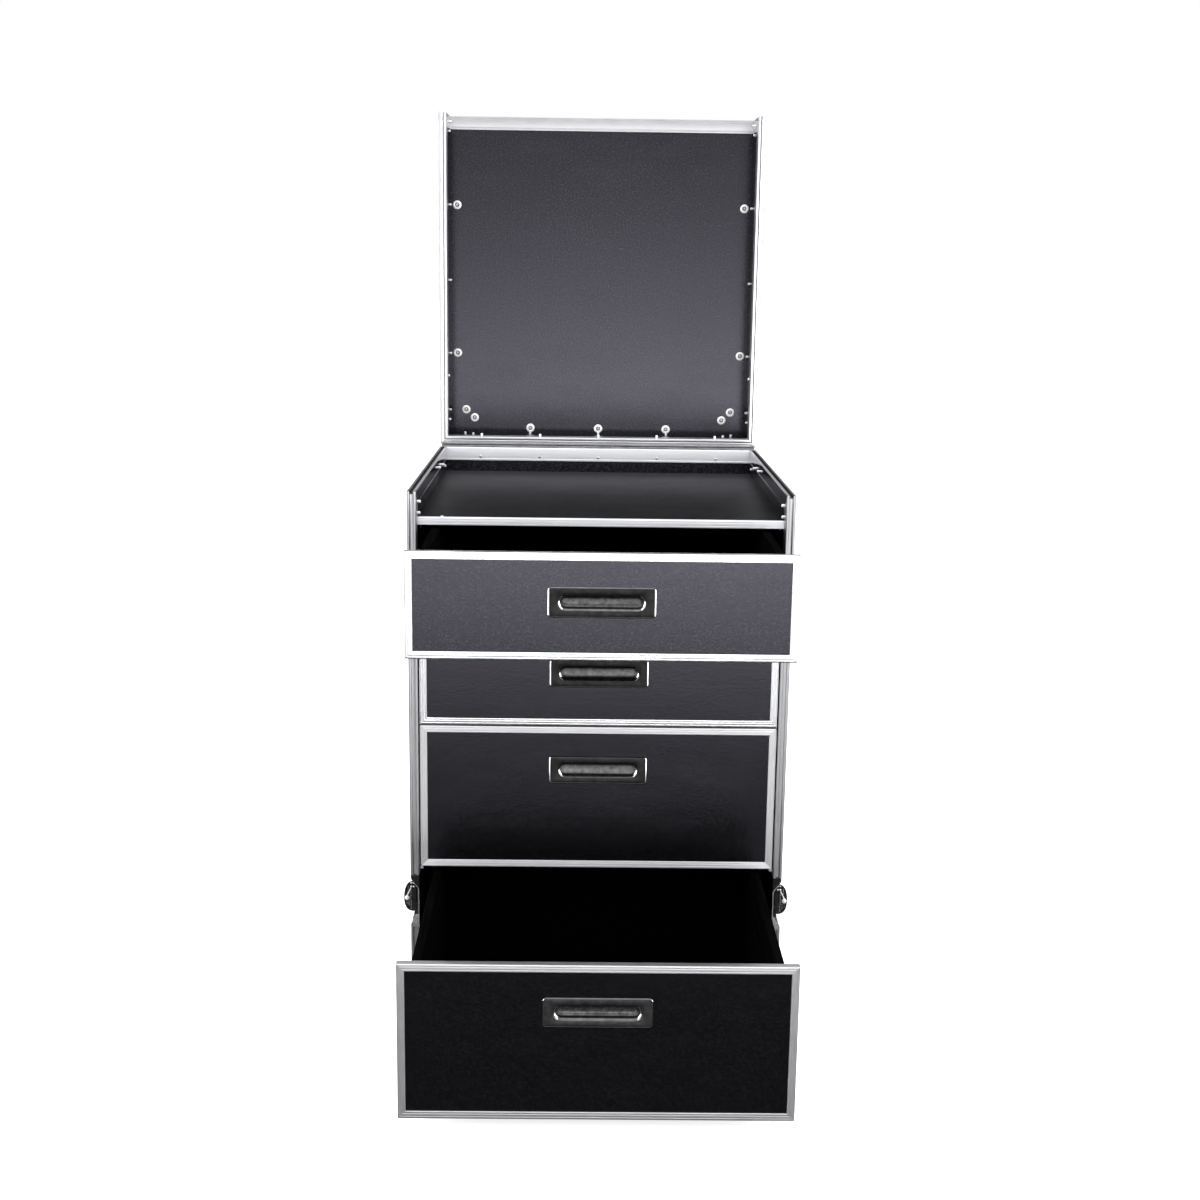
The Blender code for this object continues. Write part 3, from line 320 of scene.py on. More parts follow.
for node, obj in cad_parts.items():
    if node == "table_panel":
        finish = TABLE
    # The lower drawer fronts take the shaded laminate copy: painted shade.
    elif node in ("drawer_2_front_panel", "drawer_3_front_panel", "drawer_4_front_panel"):
        finish = LAMINATE_LOW
    elif "panel" in node or node == "lid_walls":
        finish = LAMINATE
    elif node.endswith("_box"):
        finish = PLY
    elif node.endswith("_handle"):
        finish = CHROME
    elif "runner" in node:
        finish = ZINC
    # The hinge takes the darkened copy: painted shade.
    elif node.startswith("hinge"):
        finish = HINGE
    elif "ball_corner" in node:
        finish = CAP
    elif "latch_dish" in node:
        finish = DISH
    elif "latch_wing" in node:
        finish = WING
    elif "latch" in node:
        finish = LATCH
    else:
        finish = ALU["X"]
    if not obj.material_slots:
        obj.data.materials.append(finish)
    for slot in obj.material_slots:
        slot.material = finish


# ================================================================ mesh helpers
def fillet(points, steps=3):
    """Rounds the corners of a closed outline of (u, v[, radius]) points."""
    out = []
    count = len(points)
    for i, point in enumerate(points):
        p = Vector(point[:2])
        radius = point[2] if len(point) > 2 else 0.0
        if radius <= 0:
            out.append((p.x, p.y))
            continue
        a = Vector(points[i - 1][:2]) - p
        b = Vector(points[(i + 1) % count][:2]) - p
        room = min(a.length, b.length) * 0.49
        a.normalize()
        b.normalize()
        angle = a.angle(b)
        if angle > math.pi - 0.02:
            out.append((p.x, p.y))
            continue
        reach = min(radius / math.tan(angle / 2), room)
        r = reach * math.tan(angle / 2)
        centre = p + (a + b).normalized() * (r / math.sin(angle / 2))
        v0, v1 = p + a * reach - centre, p + b * reach - centre
        a0 = math.atan2(v0.y, v0.x)
        turn = math.atan2(v1.y, v1.x) - a0
        turn = (turn + math.pi) % (2 * math.pi) - math.pi
        for k in range(steps + 1):
            t = a0 + turn * k / steps
            out.append((centre.x + r * math.cos(t), centre.y + r * math.sin(t)))
    return out


def sweep(profile, stations):
    """Straight mitred length: a station is (corner, direction of u, of v)."""
    bm = bmesh.new()
    rings = []
    for corner, u_dir, v_dir in stations:
        corner, u_dir, v_dir = Vector(corner), Vector(u_dir), Vector(v_dir)
        rings.append([bm.verts.new(corner + u * u_dir + v * v_dir) for u, v in profile])
    count = len(profile)
    for a, b in zip(rings, rings[1:]):
        for i in range(count):
            j = (i + 1) % count
            bm.faces.new((a[i], a[j], b[j], b[i]))
    bm.faces.new(rings[0])
    bm.faces.new(rings[-1])
    return bm


def loft(rings, closed=False):
    bm = bmesh.new()
    verts = [[bm.verts.new(p) for p in ring] for ring in rings]
    count = len(verts[0])
    pairs = list(zip(verts, verts[1:]))
    if closed:
        pairs.append((verts[-1], verts[0]))
    for a, b in pairs:
        for i in range(count):
            j = (i + 1) % count
            bm.faces.new((a[i], a[j], b[j], b[i]))
    if not closed:
        bm.faces.new(verts[0])
        bm.faces.new(verts[-1])
    return bm


def lathe(profile, sides=20):
    """Turns (radius, height) points about Z; the ends lie on the axis or close."""
    bm = bmesh.new()
    rings = []
    for r, h in profile:
        if r < 1e-6:
            rings.append([bm.verts.new((0, 0, h))])
        else:
            rings.append(
                [
                    bm.verts.new((r * math.cos(2 * math.pi * i / sides), r * math.sin(2 * math.pi * i / sides), h))
                    for i in range(sides)
                ]
            )
    pairs = list(zip(rings, rings[1:]))
    if len(rings[0]) > 1:
        pairs.append((rings[-1], rings[0]))
    for a, b in pairs:
        for i in range(sides):
            j = (i + 1) % sides
            if len(a) == 1:
                bm.faces.new((a[0], b[i], b[j]))
            elif len(b) == 1:
                bm.faces.new((a[i], a[j], b[0]))
            else:
                bm.faces.new((a[i], a[j], b[j], b[i]))
    return bm


def join(first, *others):
    for other in others:
        lookup = {v: first.verts.new(v.co) for v in other.verts}
        for face in other.faces:
            first.faces.new([lookup[v] for v in face.verts]).material_index = face.material_index
        other.free()
    return first


def placed(make, places, spin=0.0):
    """Copies of one small mesh, its +Z turned to each place's direction."""
    bm = bmesh.new()
    for i, (point, way) in enumerate(places):
        part = make()
        turn = Vector((0, 0, 1)).rotation_difference(Vector(way)).to_matrix().to_4x4()
        twist = Matrix.Rotation(spin * (i + 1), 4, "Z")
        bmesh.ops.transform(part, matrix=Matrix.Translation(point) @ turn @ twist, verts=part.verts)
        join(bm, part)
    return bm


def box_mesh(x0, x1, y0, y1, z0, z1, bevel=0.0):
    bm = bmesh.new()
    bmesh.ops.create_cube(bm, size=1.0)
    bmesh.ops.scale(bm, vec=(abs(x1 - x0), abs(y1 - y0), abs(z1 - z0)), verts=bm.verts)
    bmesh.ops.translate(bm, vec=((x0 + x1) / 2, (y0 + y1) / 2, (z0 + z1) / 2), verts=bm.verts)
    if bevel:
        bmesh.ops.bevel(bm, geom=list(bm.edges), offset=bevel, segments=2, profile=0.6, affect="EDGES")
    return bm


def combine(operation, first, *others):
    """Boolean of closed meshes; gives the result as a new mesh."""
    made = []
    for bm in (first, *others):
        bmesh.ops.recalc_face_normals(bm, faces=bm.faces)
        mesh = bpy.data.meshes.new("part")
        bm.to_mesh(mesh)
        bm.free()
        obj = bpy.data.objects.new("part", mesh)
        scene.collection.objects.link(obj)
        made.append(obj)
    for other in made[1:]:
        modifier = made[0].modifiers.new("cut", "BOOLEAN")
        modifier.operation = operation
        modifier.solver = "EXACT"
        modifier.object = other
    graph = bpy.context.evaluated_depsgraph_get()
    graph.update()
    shown = made[0].evaluated_get(graph)
    result = bmesh.new()
    result.from_mesh(shown.to_mesh())
    shown.to_mesh_clear()
    for obj in made:
        mesh = obj.data
        bpy.data.objects.remove(obj)
        bpy.data.meshes.remove(mesh)
    return result


def bar(centre, axis, radius, size, sides=24, ease=0.3):
    """Round bar with eased ends, along X, Y or Z."""
    h = size / 2
    bm = lathe([(0, -h), (radius - ease, -h), (radius, -h + ease), (radius, h - ease), (radius - ease, h), (0, h)], sides)
    turn = {"X": Matrix.Rotation(math.pi / 2, 4, "Y"), "Y": Matrix.Rotation(math.pi / 2, 4, "X"), "Z": Matrix()}
    bmesh.ops.transform(bm, matrix=Matrix.Translation(centre) @ turn[axis], verts=bm.verts)
    return bm


def slab(outline, origin, u, v, thickness_dir, thickness, ease=0.35):
    """Flat plate with eased rims: outline of (u, v) points, given a thickness."""
    origin, u, v, n = Vector(origin), Vector(u), Vector(v), Vector(thickness_dir)
    middle = Vector((sum(q[0] for q in outline) / len(outline), sum(q[1] for q in outline) / len(outline)))
    rings = []
    for depth, inset in ((0.0, ease), (ease, 0.0), (thickness - ease, 0.0), (thickness, ease)):
        ring = []
        for q in outline:
            way = Vector(q) - middle
            k = max(0.0, 1.0 - inset / way.length) if way.length > 1e-6 else 1.0
            w = middle + way * k
            ring.append(origin + u * w.x + v * w.y + n * depth)
        rings.append(ring)
    return loft(rings)


def piece(name, bm, body, finish, replaces=(), move=None, angle=32):
    """Finishes a mesh drawn in millimetres as a piece that rides on a body."""
    if move is not None:
        bmesh.ops.transform(bm, matrix=move, verts=bm.verts)
    bmesh.ops.recalc_face_normals(bm, faces=bm.faces)
    bmesh.ops.scale(bm, vec=(MM, MM, MM), verts=bm.verts)
    mesh = bpy.data.meshes.new(name)
    bm.to_mesh(mesh)
    bm.free()
    mesh.shade_smooth()
    mesh.set_sharp_from_angle(angle=math.radians(angle))
    obj = bpy.data.objects.new(name, mesh)
    scene.collection.objects.link(obj)
    mesh.materials.append(finish)
    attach(obj, body)
    if replaces:
        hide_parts(*replaces)
    return obj


def length(name, profile, start, end, body, finishes, replaces, move=None, groove=None):
    """One mitred length between two stations, stopped just short of each."""
    a, b = Vector(start[0]), Vector(end[0])
    way = (b - a).normalized()
    stations = [(a + way * SEAM, start[1], start[2]), (b - way * SEAM, end[1], end[2])]
    shown = (move.to_3x3() @ way) if move is not None else way
    axis = "XYZ"[max(range(3), key=lambda i: abs(shown[i]))]
    bm = sweep(profile, stations)
    # Faces picked by the masks take darker copies, painted shade: slot 1 the groove or the tongue's foot, slot 2 the
    # outer lip, slot 3 the inner face of lengths along Y.
    if groove is not None:
        bm.faces.ensure_lookup_table()
        for i, (u, v) in enumerate(profile):
            next_u, next_v = profile[(i + 1) % len(profile)]
            if groove[1](min(u, next_u), max(u, next_u), min(v, next_v), max(v, next_v)):
                bm.faces[i].material_index = 1
            elif groove[2](min(u, next_u), max(u, next_u), min(v, next_v), max(v, next_v)):
                bm.faces[i].material_index = 2
            elif axis == "Y" and inner_face(min(u, next_u), max(u, next_u), min(v, next_v), max(v, next_v)):
                bm.faces[i].material_index = 3
    obj = piece(name, bm, body, finishes[axis], replaces, move)
    if groove is not None:
        obj.data.materials.append(groove[0])
        obj.data.materials.append(LIP_SHADE)
        obj.data.materials.append(INNER)
    return obj


# Masks for length(): the faces they pick get painted shade.
def in_groove(u0, u1, v0, v1):
    return u0 > GROOVE_0 - 0.2 and u1 < GROOVE_1 + 0.2 and v0 > 0.5 and v1 < GROOVE_D + 0.1


def outer_lip(u0, u1, v0, v1):
    return u1 < GROOVE_0 + 0.1 and v1 < 1.2


def inner_face(u0, u1, v0, v1):
    return u0 > RAIL_W - 0.35 and v1 > 3.0


def tongue_foot(u0, u1, v0, v1):
    return u0 > TONGUE_1 - 0.5 and u1 < TONGUE_1 + 1.3 and v0 > -TONGUE_H + 0.3 and v1 < 1.0 and (v1 - v0) > 0.25


def nowhere(u0, u1, v0, v1):
    return False


# ================================================================ rails
def rail_outline(tongue):
    face = [(0.0, 0.75, 0.3), (0.45, 0.22), (1.15, 0.0)]
    if tongue:
        face += [
            (TONGUE_0, 0.0, 0.3),
            (TONGUE_0 + 0.35, -TONGUE_H, 0.5),
            (TONGUE_1 - 0.35, -TONGUE_H, 0.5),
            (TONGUE_1, 0.5),
            (TONGUE_1 + 0.5, 0.8),
            (TONGUE_1 + 1.0, 0.0, 0.2),
        ]
    else:
        face += [
            (GROOVE_0 - 1.3, 0.0), (GROOVE_0 - 0.5, 0.18), (GROOVE_0, 0.7, 0.3),
            (GROOVE_0, GROOVE_D, 0.4),
            (GROOVE_1, GROOVE_D, 0.4),
            (GROOVE_1, 0.7, 0.3), (GROOVE_1 + 0.5, 0.18), (GROOVE_1 + 1.3, 0.0),
        ]
    face += [(RAIL_W - 1.15, 0.0), (RAIL_W - 0.45, 0.22), (RAIL_W, 0.75, 0.3)]
    inner = []
    for v in (19.6,):
        inner += [(RAIL_W, v, 0.15), (RAIL_W - 0.3, v + 0.3), (RAIL_W - 0.3, v + 0.9), (RAIL_W, v + 1.2, 0.15)]
    inner += [(RAIL_W, LEG_IN, 0.6), (RAIL_W - LEG_T, LEG_IN, 0.3)]
    inside = [(RAIL_W - LEG_T, WEB, 0.3), (LEG_T, WEB, 0.3)]
    outer = [(LEG_T, LEG_OUT, 0.3), (0.0, LEG_OUT, 0.6)]
    for v in (20.0, 10.0):
        outer += [(0.0, v + 1.8, 0.15), (0.4, v + 1.4), (0.4, v + 0.4), (0.0, v, 0.15)]
    return fillet(face + inner + inside + outer)


GROOVED, TONGUED = rail_outline(False), rail_outline(True)
dish_z0, dish_z1 = LATCH_Z - DISH_HALF, LATCH_Z + DISH_HALF
DROP = 1.5 * GAP

corners = {
    "left_front": ((-HW, FRONT, CASE_H), (1, 0, 0), (0, 1, -1)),
    "left_rear": ((-HW, REAR, CASE_H), (1, -1, 0), (0, 0, -1)),
    "right_rear": ((HW, REAR, CASE_H), (-1, -1, 0), (0, 0, -1)),
    "right_front": ((HW, FRONT, CASE_H), (-1, 0, 0), (0, 1, -1)),
}
# The rear rim length takes the lighter aluminium copy: painted light.
for part, a, b in (("left", "left_front", "left_rear"), ("rear", "left_rear", "right_rear"), ("right", "right_rear", "right_front")):
    # Each rim length gets painted shade in its groove and on its outer lip, and the side lengths on their inner face.
    length("rim_rail_" + part, GROOVED, corners[a], corners[b], "root", {"X": ALU_LIT} if part == "rear" else ALU, ["rim_rail"], groove=(GROOVE, in_groove, outer_lip))
# The front uprights and the sill rail below take the darker aluminium copy: painted shade.
for side, s in (("left", -1), ("right", 1)):
    length(
        "front_upright_" + side,
        GROOVED,
        ((s * HW, FRONT, dish_z1 + GAP), (-s, 0, 0), (0, 1, 0)),
        ((s * HW, FRONT, CASE_H - DROP), (-s, 0, 0), (0, 1, -1)),
        "root",
        UPRIGHT,
        ["front_rail_" + side],
    )
    length(
        "front_upright_low_" + side,
        GROOVED,
        ((s * HW, FRONT, dish_z0 - GAP), (-s, 0, 0), (0, 1, 0)),
        ((s * HW, FRONT, 0), (-s, 0, 1), (0, 1, 0)),
        "root",
        UPRIGHT,
        ["front_rail_lower"],
    )
length(
    "front_sill_rail",
    GROOVED,
    ((-HW, FRONT, 0), (1, 0, 1), (0, 1, 0)),
    ((HW, FRONT, 0), (-1, 0, 1), (0, 1, 0)),
    "root",
    UPRIGHT,
    ["front_rail_lower"],
)
corners = {
    "left_front": ((-HW, FRONT, LID_Z0), (1, 0, 0), (0, 1, 1)),
    "left_rear": ((-HW, REAR, LID_Z0), (1, -1, 0), (0, 0, 1)),
    "right_rear": ((HW, REAR, LID_Z0), (-1, -1, 0), (0, 0, 1)),
    "right_front": ((HW, FRONT, LID_Z0), (-1, 0, 0), (0, 1, 1)),
}
for part, a, b in (("left", "left_front", "left_rear"), ("rear", "left_rear", "right_rear"), ("right", "right_rear", "right_front")):
    # Each lid rim length gets painted shade at the foot of its tongue.
    length("lid_rim_" + part, TONGUED, corners[a], corners[b], "lid", ALU, ["lid_rim_rail"], LID_OPEN, groove=(GROOVE, tongue_foot, nowhere))
top_corners = [
    ((-HW, FRONT, LID_Z0 + DROP), (1, 0, 0), (0, 1, 1)),
    ((-HW, FRONT, LID_Z1), (1, 0, -1), (0, 1, 0)),
    ((HW, FRONT, LID_Z1), (-1, 0, -1), (0, 1, 0)),
    ((HW, FRONT, LID_Z0 + DROP), (-1, 0, 0), (0, 1, 1)),
]
# The long rail takes the darker aluminium copy: painted shade.
for part, i in (("left", 0), ("long", 1), ("right", 2)):
    length(
        "lid_front_rail_" + part, GROOVED, top_corners[i], top_corners[i + 1], "lid", {"X": LID_LONG} if part == "long" else ALU,
        ["lid_front_rail"], LID_OPEN,
    )

# Edge angles: rounded L sections along the base, the rear corners and the lid.
ANGLE = fillet([(0, 0, 1.4), (30, 0, 0.6), (30, 2, 0.4), (2, 2, 0.5), (2, 30, 0.4), (0, 30, 0.6)])


def angle_length(name, start, end, u, v, body, cad, move=None):
    length(name, ANGLE, (start, u, v), (end, u, v), body, ALU, [cad], move)


a_y0, a_z1 = FRONT + LEG_OUT + GAP, CASE_H - LEG_OUT - GAP
for side, s in (("left", -1), ("right", 1)):
    angle_length("base_angle_" + side, (s * HW, a_y0, 0), (s * HW, REAR - 30.2, 0), (-s, 0, 0), (0, 0, 1), "root", "edge_angle_frame")
    angle_length("rear_angle_" + side, (s * HW, REAR, 0), (s * HW, REAR, a_z1), (-s, 0, 0), (0, -1, 0), "root", "edge_angle_frame")
    angle_length(
        "lid_angle_" + side, (s * HW, a_y0, LID_Z1), (s * HW, REAR - 30.2, LID_Z1), (-s, 0, 0), (0, 0, -1),
        "lid", "lid_edge_angles", LID_OPEN,
    )
    angle_length(
        "lid_corner_angle_" + side, (s * HW, REAR, LID_Z0 + LEG_OUT + GAP), (s * HW, REAR, LID_Z1), (-s, 0, 0), (0, -1, 0),
        "lid", "lid_edge_angles", LID_OPEN,
    )
angle_length("base_angle_rear", (-HW + 30.2, REAR, 0), (HW - 30.2, REAR, 0), (0, -1, 0), (0, 0, 1), "root", "edge_angle_frame")
angle_length(
    "lid_angle_rear", (-HW + 30.2, REAR, LID_Z1), (HW - 30.2, REAR, LID_Z1), (0, -1, 0), (0, 0, -1),
    "lid", "lid_edge_angles", LID_OPEN,
)

# Table edging: upright face with two ridges and a flange let into the board.
TABLE_EDGE = fillet(
    [
        (0.0, 0.0, 0.7), (10.0, 0.0, 0.5), (10.0, -1.9, 0.3), (1.5, -1.9, 0.3), (1.5, -11.8, 0.3), (0.0, -11.8, 0.6),
        (0.0, -8.9, 0.15), (0.22, -8.7), (0.22, -8.3), (0.0, -8.1, 0.15),
        (0.0, -3.8, 0.15), (0.22, -3.6), (0.22, -3.2), (0.0, -3.0, 0.15),
    ]
)
# The edging takes the lighter aluminium copy: painted light.
piece(
    "table_edging",
    sweep(
        TABLE_EDGE,
        [
            ((-HW + RAIL_W + GAP, FRONT + 15.0, 823.0), (0, 1, 0), (0, 0, 1)),
            ((HW - RAIL_W - GAP, FRONT + 15.0, 823.0), (0, 1, 0), (0, 0, 1)),
        ],
    ),
    "root",
    ALU_LIT,
    ["table_front_trim"],
)

# ================================================================ drawers
EDGING = fillet(
    [
        (0.0, 0.0, 0.7), (3.1, 0.0, 0.2), (3.35, 0.25, 0.1), (3.85, 0.25, 0.1), (4.1, 0.0, 0.2),
        (7.3, 0.0, 0.2), (7.55, 0.25, 0.1), (8.05, 0.25, 0.1), (8.3, 0.0, 0.2), (TRIM_W, 0.0, 0.7),
        (TRIM_W, TRIM_T, 0.2), (TRIM_T, TRIM_T, 0.3), (TRIM_T, TRIM_DEPTH, 0.3), (0.0, TRIM_DEPTH, 0.3),
    ]
)


def rounded_ring(half_w, half_h, radius, y, per_corner=10):
    ring = []
    for cx, cz, start in (
        (half_w - radius, half_h - radius, 0.0),
        (-(half_w - radius), half_h - radius, 90.0),
        (-(half_w - radius), -(half_h - radius), 180.0),
        (half_w - radius, -(half_h - radius), 270.0),
    ):
        for i in range(per_corner + 1):
            t = math.radians(start + 90.0 * i / per_corner)
            ring.append((cx + radius * math.cos(t), y, cz + radius * math.sin(t)))
    return ring


def slot_ring(inset, depth):
    half_w, half_h = SLOT_W / 2 + inset, SLOT_H / 2 + inset
    return rounded_ring(half_w, half_h, half_h - 0.01, depth)


def plate_ring(inset, depth):
    return rounded_ring(PLATE_W / 2 - inset, PLATE_H / 2 - inset, max(PLATE_R - inset, 0.6), depth)


def pull_mesh():
    """Face plate of the flush pull: rounded rim, and a broad roll into the slot."""
    rings = [slot_ring(-4.3, 9.4)]
    for k in range(0, 9):
        t = math.radians(62) * k / 8
        rings.append(slot_ring(3.7 - 8.0 * math.cos(t), 7.75 - 8.0 * math.sin(t)))
    rings += [slot_ring(0.2, 0.62), plate_ring(1.95, 0.62), plate_ring(1.92, 0.2), plate_ring(1.6, 0.1)]
    rings += [plate_ring(1.35, 0.18), plate_ring(0.35, 1.0), plate_ring(0.1, 1.24)]
    rings += [plate_ring(0.0, 1.45), slot_ring(0.6, 1.45), slot_ring(0.3, 4.0), slot_ring(-1.2, 7.2), slot_ring(-3.2, 9.2)]
    bm = loft(rings, closed=True)
    straight = SLOT_W / 2 - SLOT_H / 2
    # The plate's left and right rims and the ends of the roll take the bright copy (painted highlights); the lower roll
    # takes the rougher roll finish.
    for face in bm.faces:
        c = face.calc_center_median()
        if abs(c.x) > PLATE_W / 2 - 1.9 and c.y < 1.3:
            face.material_index = 1
        elif c.y > 0.62 and abs(c.x) < SLOT_W / 2 + 0.1 and abs(c.z) < SLOT_H / 2 + 0.1:
            if abs(c.x) > straight + 5.5:
                face.material_index = 1
            elif c.z < 0:
                face.material_index = 2
    return bm


def field_mesh():
    """Lacquered field let into the face plate, round the slot."""
    return loft(
        [
            slot_ring(0.25, 0.62), slot_ring(0.25, 0.26), slot_ring(0.4, 0.2),
            plate_ring(2.2, 0.2), plate_ring(2.0, 0.26), plate_ring(2.0, 0.62),
        ],
        closed=True,
    )


def cup_mesh():
    """Pressed finger cup behind the slot, with a soft scoop all round."""
    outer = ((-9.0, 14.35), (-4.0, 14.3), (-1.2, 12.9), (0.3, 10.2), (1.1, 7.5), (1.2, 1.5))
    inner = ((0.7, 1.5), (0.45, 4.2), (-0.3, 7.2), (-1.0, 9.2), (-2.2, 10.9), (-4.2, 12.4), (-6.8, 13.2), (-9.0, 13.4))
    return loft([slot_ring(inset, depth) for inset, depth in outer + inner])


for number in (1, 2, 3, 4):
    top = DRAWER_TOPS[number - 1]
    bottom = top - DRAWER_HEIGHTS[number - 1]
    body = "drawer_%d" % number
    shift = Matrix.Translation((0, -DRAWER_OPEN[number - 1], 0))
    w = FRONT_HALF_W
    stations = [
        ((-w, FRONT, bottom), (1, 0, 1), (0, 1, 0)),
        ((w, FRONT, bottom), (-1, 0, 1), (0, 1, 0)),
        ((w, FRONT, top), (-1, 0, -1), (0, 1, 0)),
        ((-w, FRONT, top), (1, 0, -1), (0, 1, 0)),
    ]
    # Each drawer's edging takes its own lit or shaded copy: painted light and shade.
    for i, part in enumerate(("bottom", "right", "top", "left")):
        length(
            "%s_edging_%s" % (body, part), EDGING, stations[i], stations[(i + 1) % 4], body,
            TRIM_SILL if (number, part) == (3, "bottom") else (TRIM_TOP, TRIM, TRIM_LOW, TRIM_LAST)[number - 1],
            [body + "_front_trim"], shift,
        )
    handle_z = top - 72.0
    place = shift @ Matrix.Translation((0, FRONT + 0.3, handle_z))
    pull = piece(body + "_pull", pull_mesh(), body, CHROME, [body + "_handle"], place, angle=50)
    # Second slot: the painted highlights.
    pull.data.materials.append(PULL_HIGHLIGHT)
    pull.data.materials.append(ROLL)
    # Drawer 4's field takes the lighter lacquer copy: painted light.
    piece(body + "_pull_field", field_mesh(), body, LACQUER if number < 4 else LACQUER_LOW, [body + "_handle"], place, angle=50)
    # Drawers 2 and 3 take the lighter cup copy: painted light.
    piece(body + "_finger_cup", cup_mesh(), body, CUP_MID if number in (2, 3) else CUP, [body + "_handle"], place, angle=50)
    # Box: separate boards with eased edges, the floor let in between them.
    y0, y1 = FRONT + BOX_FRONT, FRONT + BOX_FRONT + BOX_LENGTH
    z0, z1 = bottom + 8.0, top - 4.0
    hw, t = BOX_HALF_W, BOX_BOARD
    for part, x0, x1, ya, yb, za, zb in (
        ("side_left", -hw, -hw + t, y0 + t + 0.1, y1 - t - 0.1, z0, z1),
        ("side_right", hw - t, hw, y0 + t + 0.1, y1 - t - 0.1, z0, z1),
        ("back", -hw, hw, y1 - t, y1, z0, z1),
        ("floor", -hw + t + 0.1, hw - t - 0.1, y0 + t + 0.1, y1 - t - 0.1, z0, z0 + BOX_FLOOR),
    ):
        piece("%s_box_%s" % (body, part), box_mesh(x0, x1, ya, yb, za, zb, 0.5), body, PLY, [body + "_box"], shift)
    # Front board of the box, in two storeys round the relief behind the pull.
    front = combine(
        "DIFFERENCE",
        box_mesh(-hw, hw, y0, y0 + t, z0, z1, 0.5),
        box_mesh(-69, 69, y0 - 5.0, y0 + 6.0, handle_z - 18, handle_z + 18),
    )
    piece(body + "_box_front", front, body, PLY, [body + "_box"], shift)

# ================================================================ lid walls
wz0, wz1 = LID_Z0 + BOARD_EDGE, LID_Z1 - BOARD_1 - GAP
for part, x0, x1, ya, yb in (
    ("left", -HW + BOARD_0, -SIDE_IN, FRONT + BOARD_EDGE, REAR - BOARD_1 - 0.1),
    ("right", SIDE_IN, HW - BOARD_0, FRONT + BOARD_EDGE, REAR - BOARD_1 - 0.1),
    ("rear", -HW + BOARD_0, HW - BOARD_0, REAR - BOARD_1, REAR - BOARD_0),
):
    piece("lid_wall_" + part, box_mesh(x0, x1, ya, yb, wz0, wz1, 0.3), "lid", LAMINATE, ["lid_walls"], LID_OPEN)

def rivet_head_mesh(r=3.2, h=1.5):
    """Blind rivet head with the dimple left by its mandrel."""
    def make():
        return lathe([(0, h * 0.72), (r * 0.22, h * 0.72), (r * 0.28, h), (r * 0.45, h * 0.97), (r * 0.64, h * 0.84), (r * 0.85, h * 0.5), (r, h * 0.12), (r, -0.2), (0, -0.2)], 18)
    return make


# ================================================================ corner caps
LEG, CUT, CAP_T, BALL_R, BALL_IN = 66.0, 24.0, 1.5, 20.0, 15.0


def cap_mesh(sign, level, way, flat):
    """Three riveted legs and the ball over the corner, hollow inside."""
    outer, rear = HW + GAP, REAR + GAP
    base = level if flat else level - way * GAP
    petal = fillet([(-0.8, -0.8), (LEG - 0.3, -0.8, 3.0), (LEG - 0.3, LEG - CUT, 7.0), (LEG - CUT, LEG - 0.3, 7.0), (-0.8, LEG - 0.3, 3.0)], 5)
    petal_flat = fillet([(-0.8, 0.02), (LEG - 0.3, 0.02, 1.0), (LEG - 0.3, LEG - CUT, 7.0), (LEG - CUT, LEG - 0.3, 7.0), (-0.8, LEG - 0.3, 3.0)], 5)
    shape = petal_flat if flat else petal
    out_x, out_y = Vector((sign, 0, 0)), Vector((0, 1, 0))
    corner = Vector((sign * HW, REAR, level))
    plates = [
        slab(shape, corner + out_x * GAP, (0, -1, 0), (0, 0, way), out_x, CAP_T),
        slab(shape, corner + out_y * GAP, (-sign, 0, 0), (0, 0, way), out_y, CAP_T),
    ]
    if not flat:
        plates.append(slab(petal, corner + Vector((0, 0, -way * GAP)), (-sign, 0, 0), (0, -1, 0), (0, 0, -way), CAP_T))
    centre = (sign * (HW - BALL_IN), REAR - BALL_IN, level + way * BALL_IN)
    ball = bmesh.new()
    bmesh.ops.create_uvsphere(ball, u_segments=48, v_segments=28, radius=BALL_R - 0.05)
    bmesh.ops.translate(ball, verts=ball.verts, vec=centre)
    shell = combine("UNION", plates[0], *plates[1:], ball)
    inside = box_mesh(sign * outer, sign * (HW - 90), rear, REAR - 90, base, base + way * 90)
    cuts = [inside]
    if flat:
        cuts.append(box_mesh(sign * (HW - 90), sign * (HW + 40), REAR - 90, REAR + 40, level, level - way * 60))
    return combine("DIFFERENCE", shell, *cuts)


for side, sign in (("left", -1), ("right", 1)):
    piece("base_cap_" + side, cap_mesh(sign, 0.0, 1, True), "root", CAP, ["base_ball_corner_" + side], angle=14)
    piece("lid_cap_" + side, cap_mesh(sign, LID_Z1, -1, False), "lid", CAP, ["lid_ball_corner_" + side], LID_OPEN, angle=14)

# ================================================================ latches
POCKET_DEPTH = 12.5
PIVOT = HW - POCKET_DEPTH + 7.0
AXIS_Y = FRONT + LATCH_Y
WING_REACH, WING_UP, WING_DOWN, WING_MID = 19.3, 28.6, 23.4, -5.0


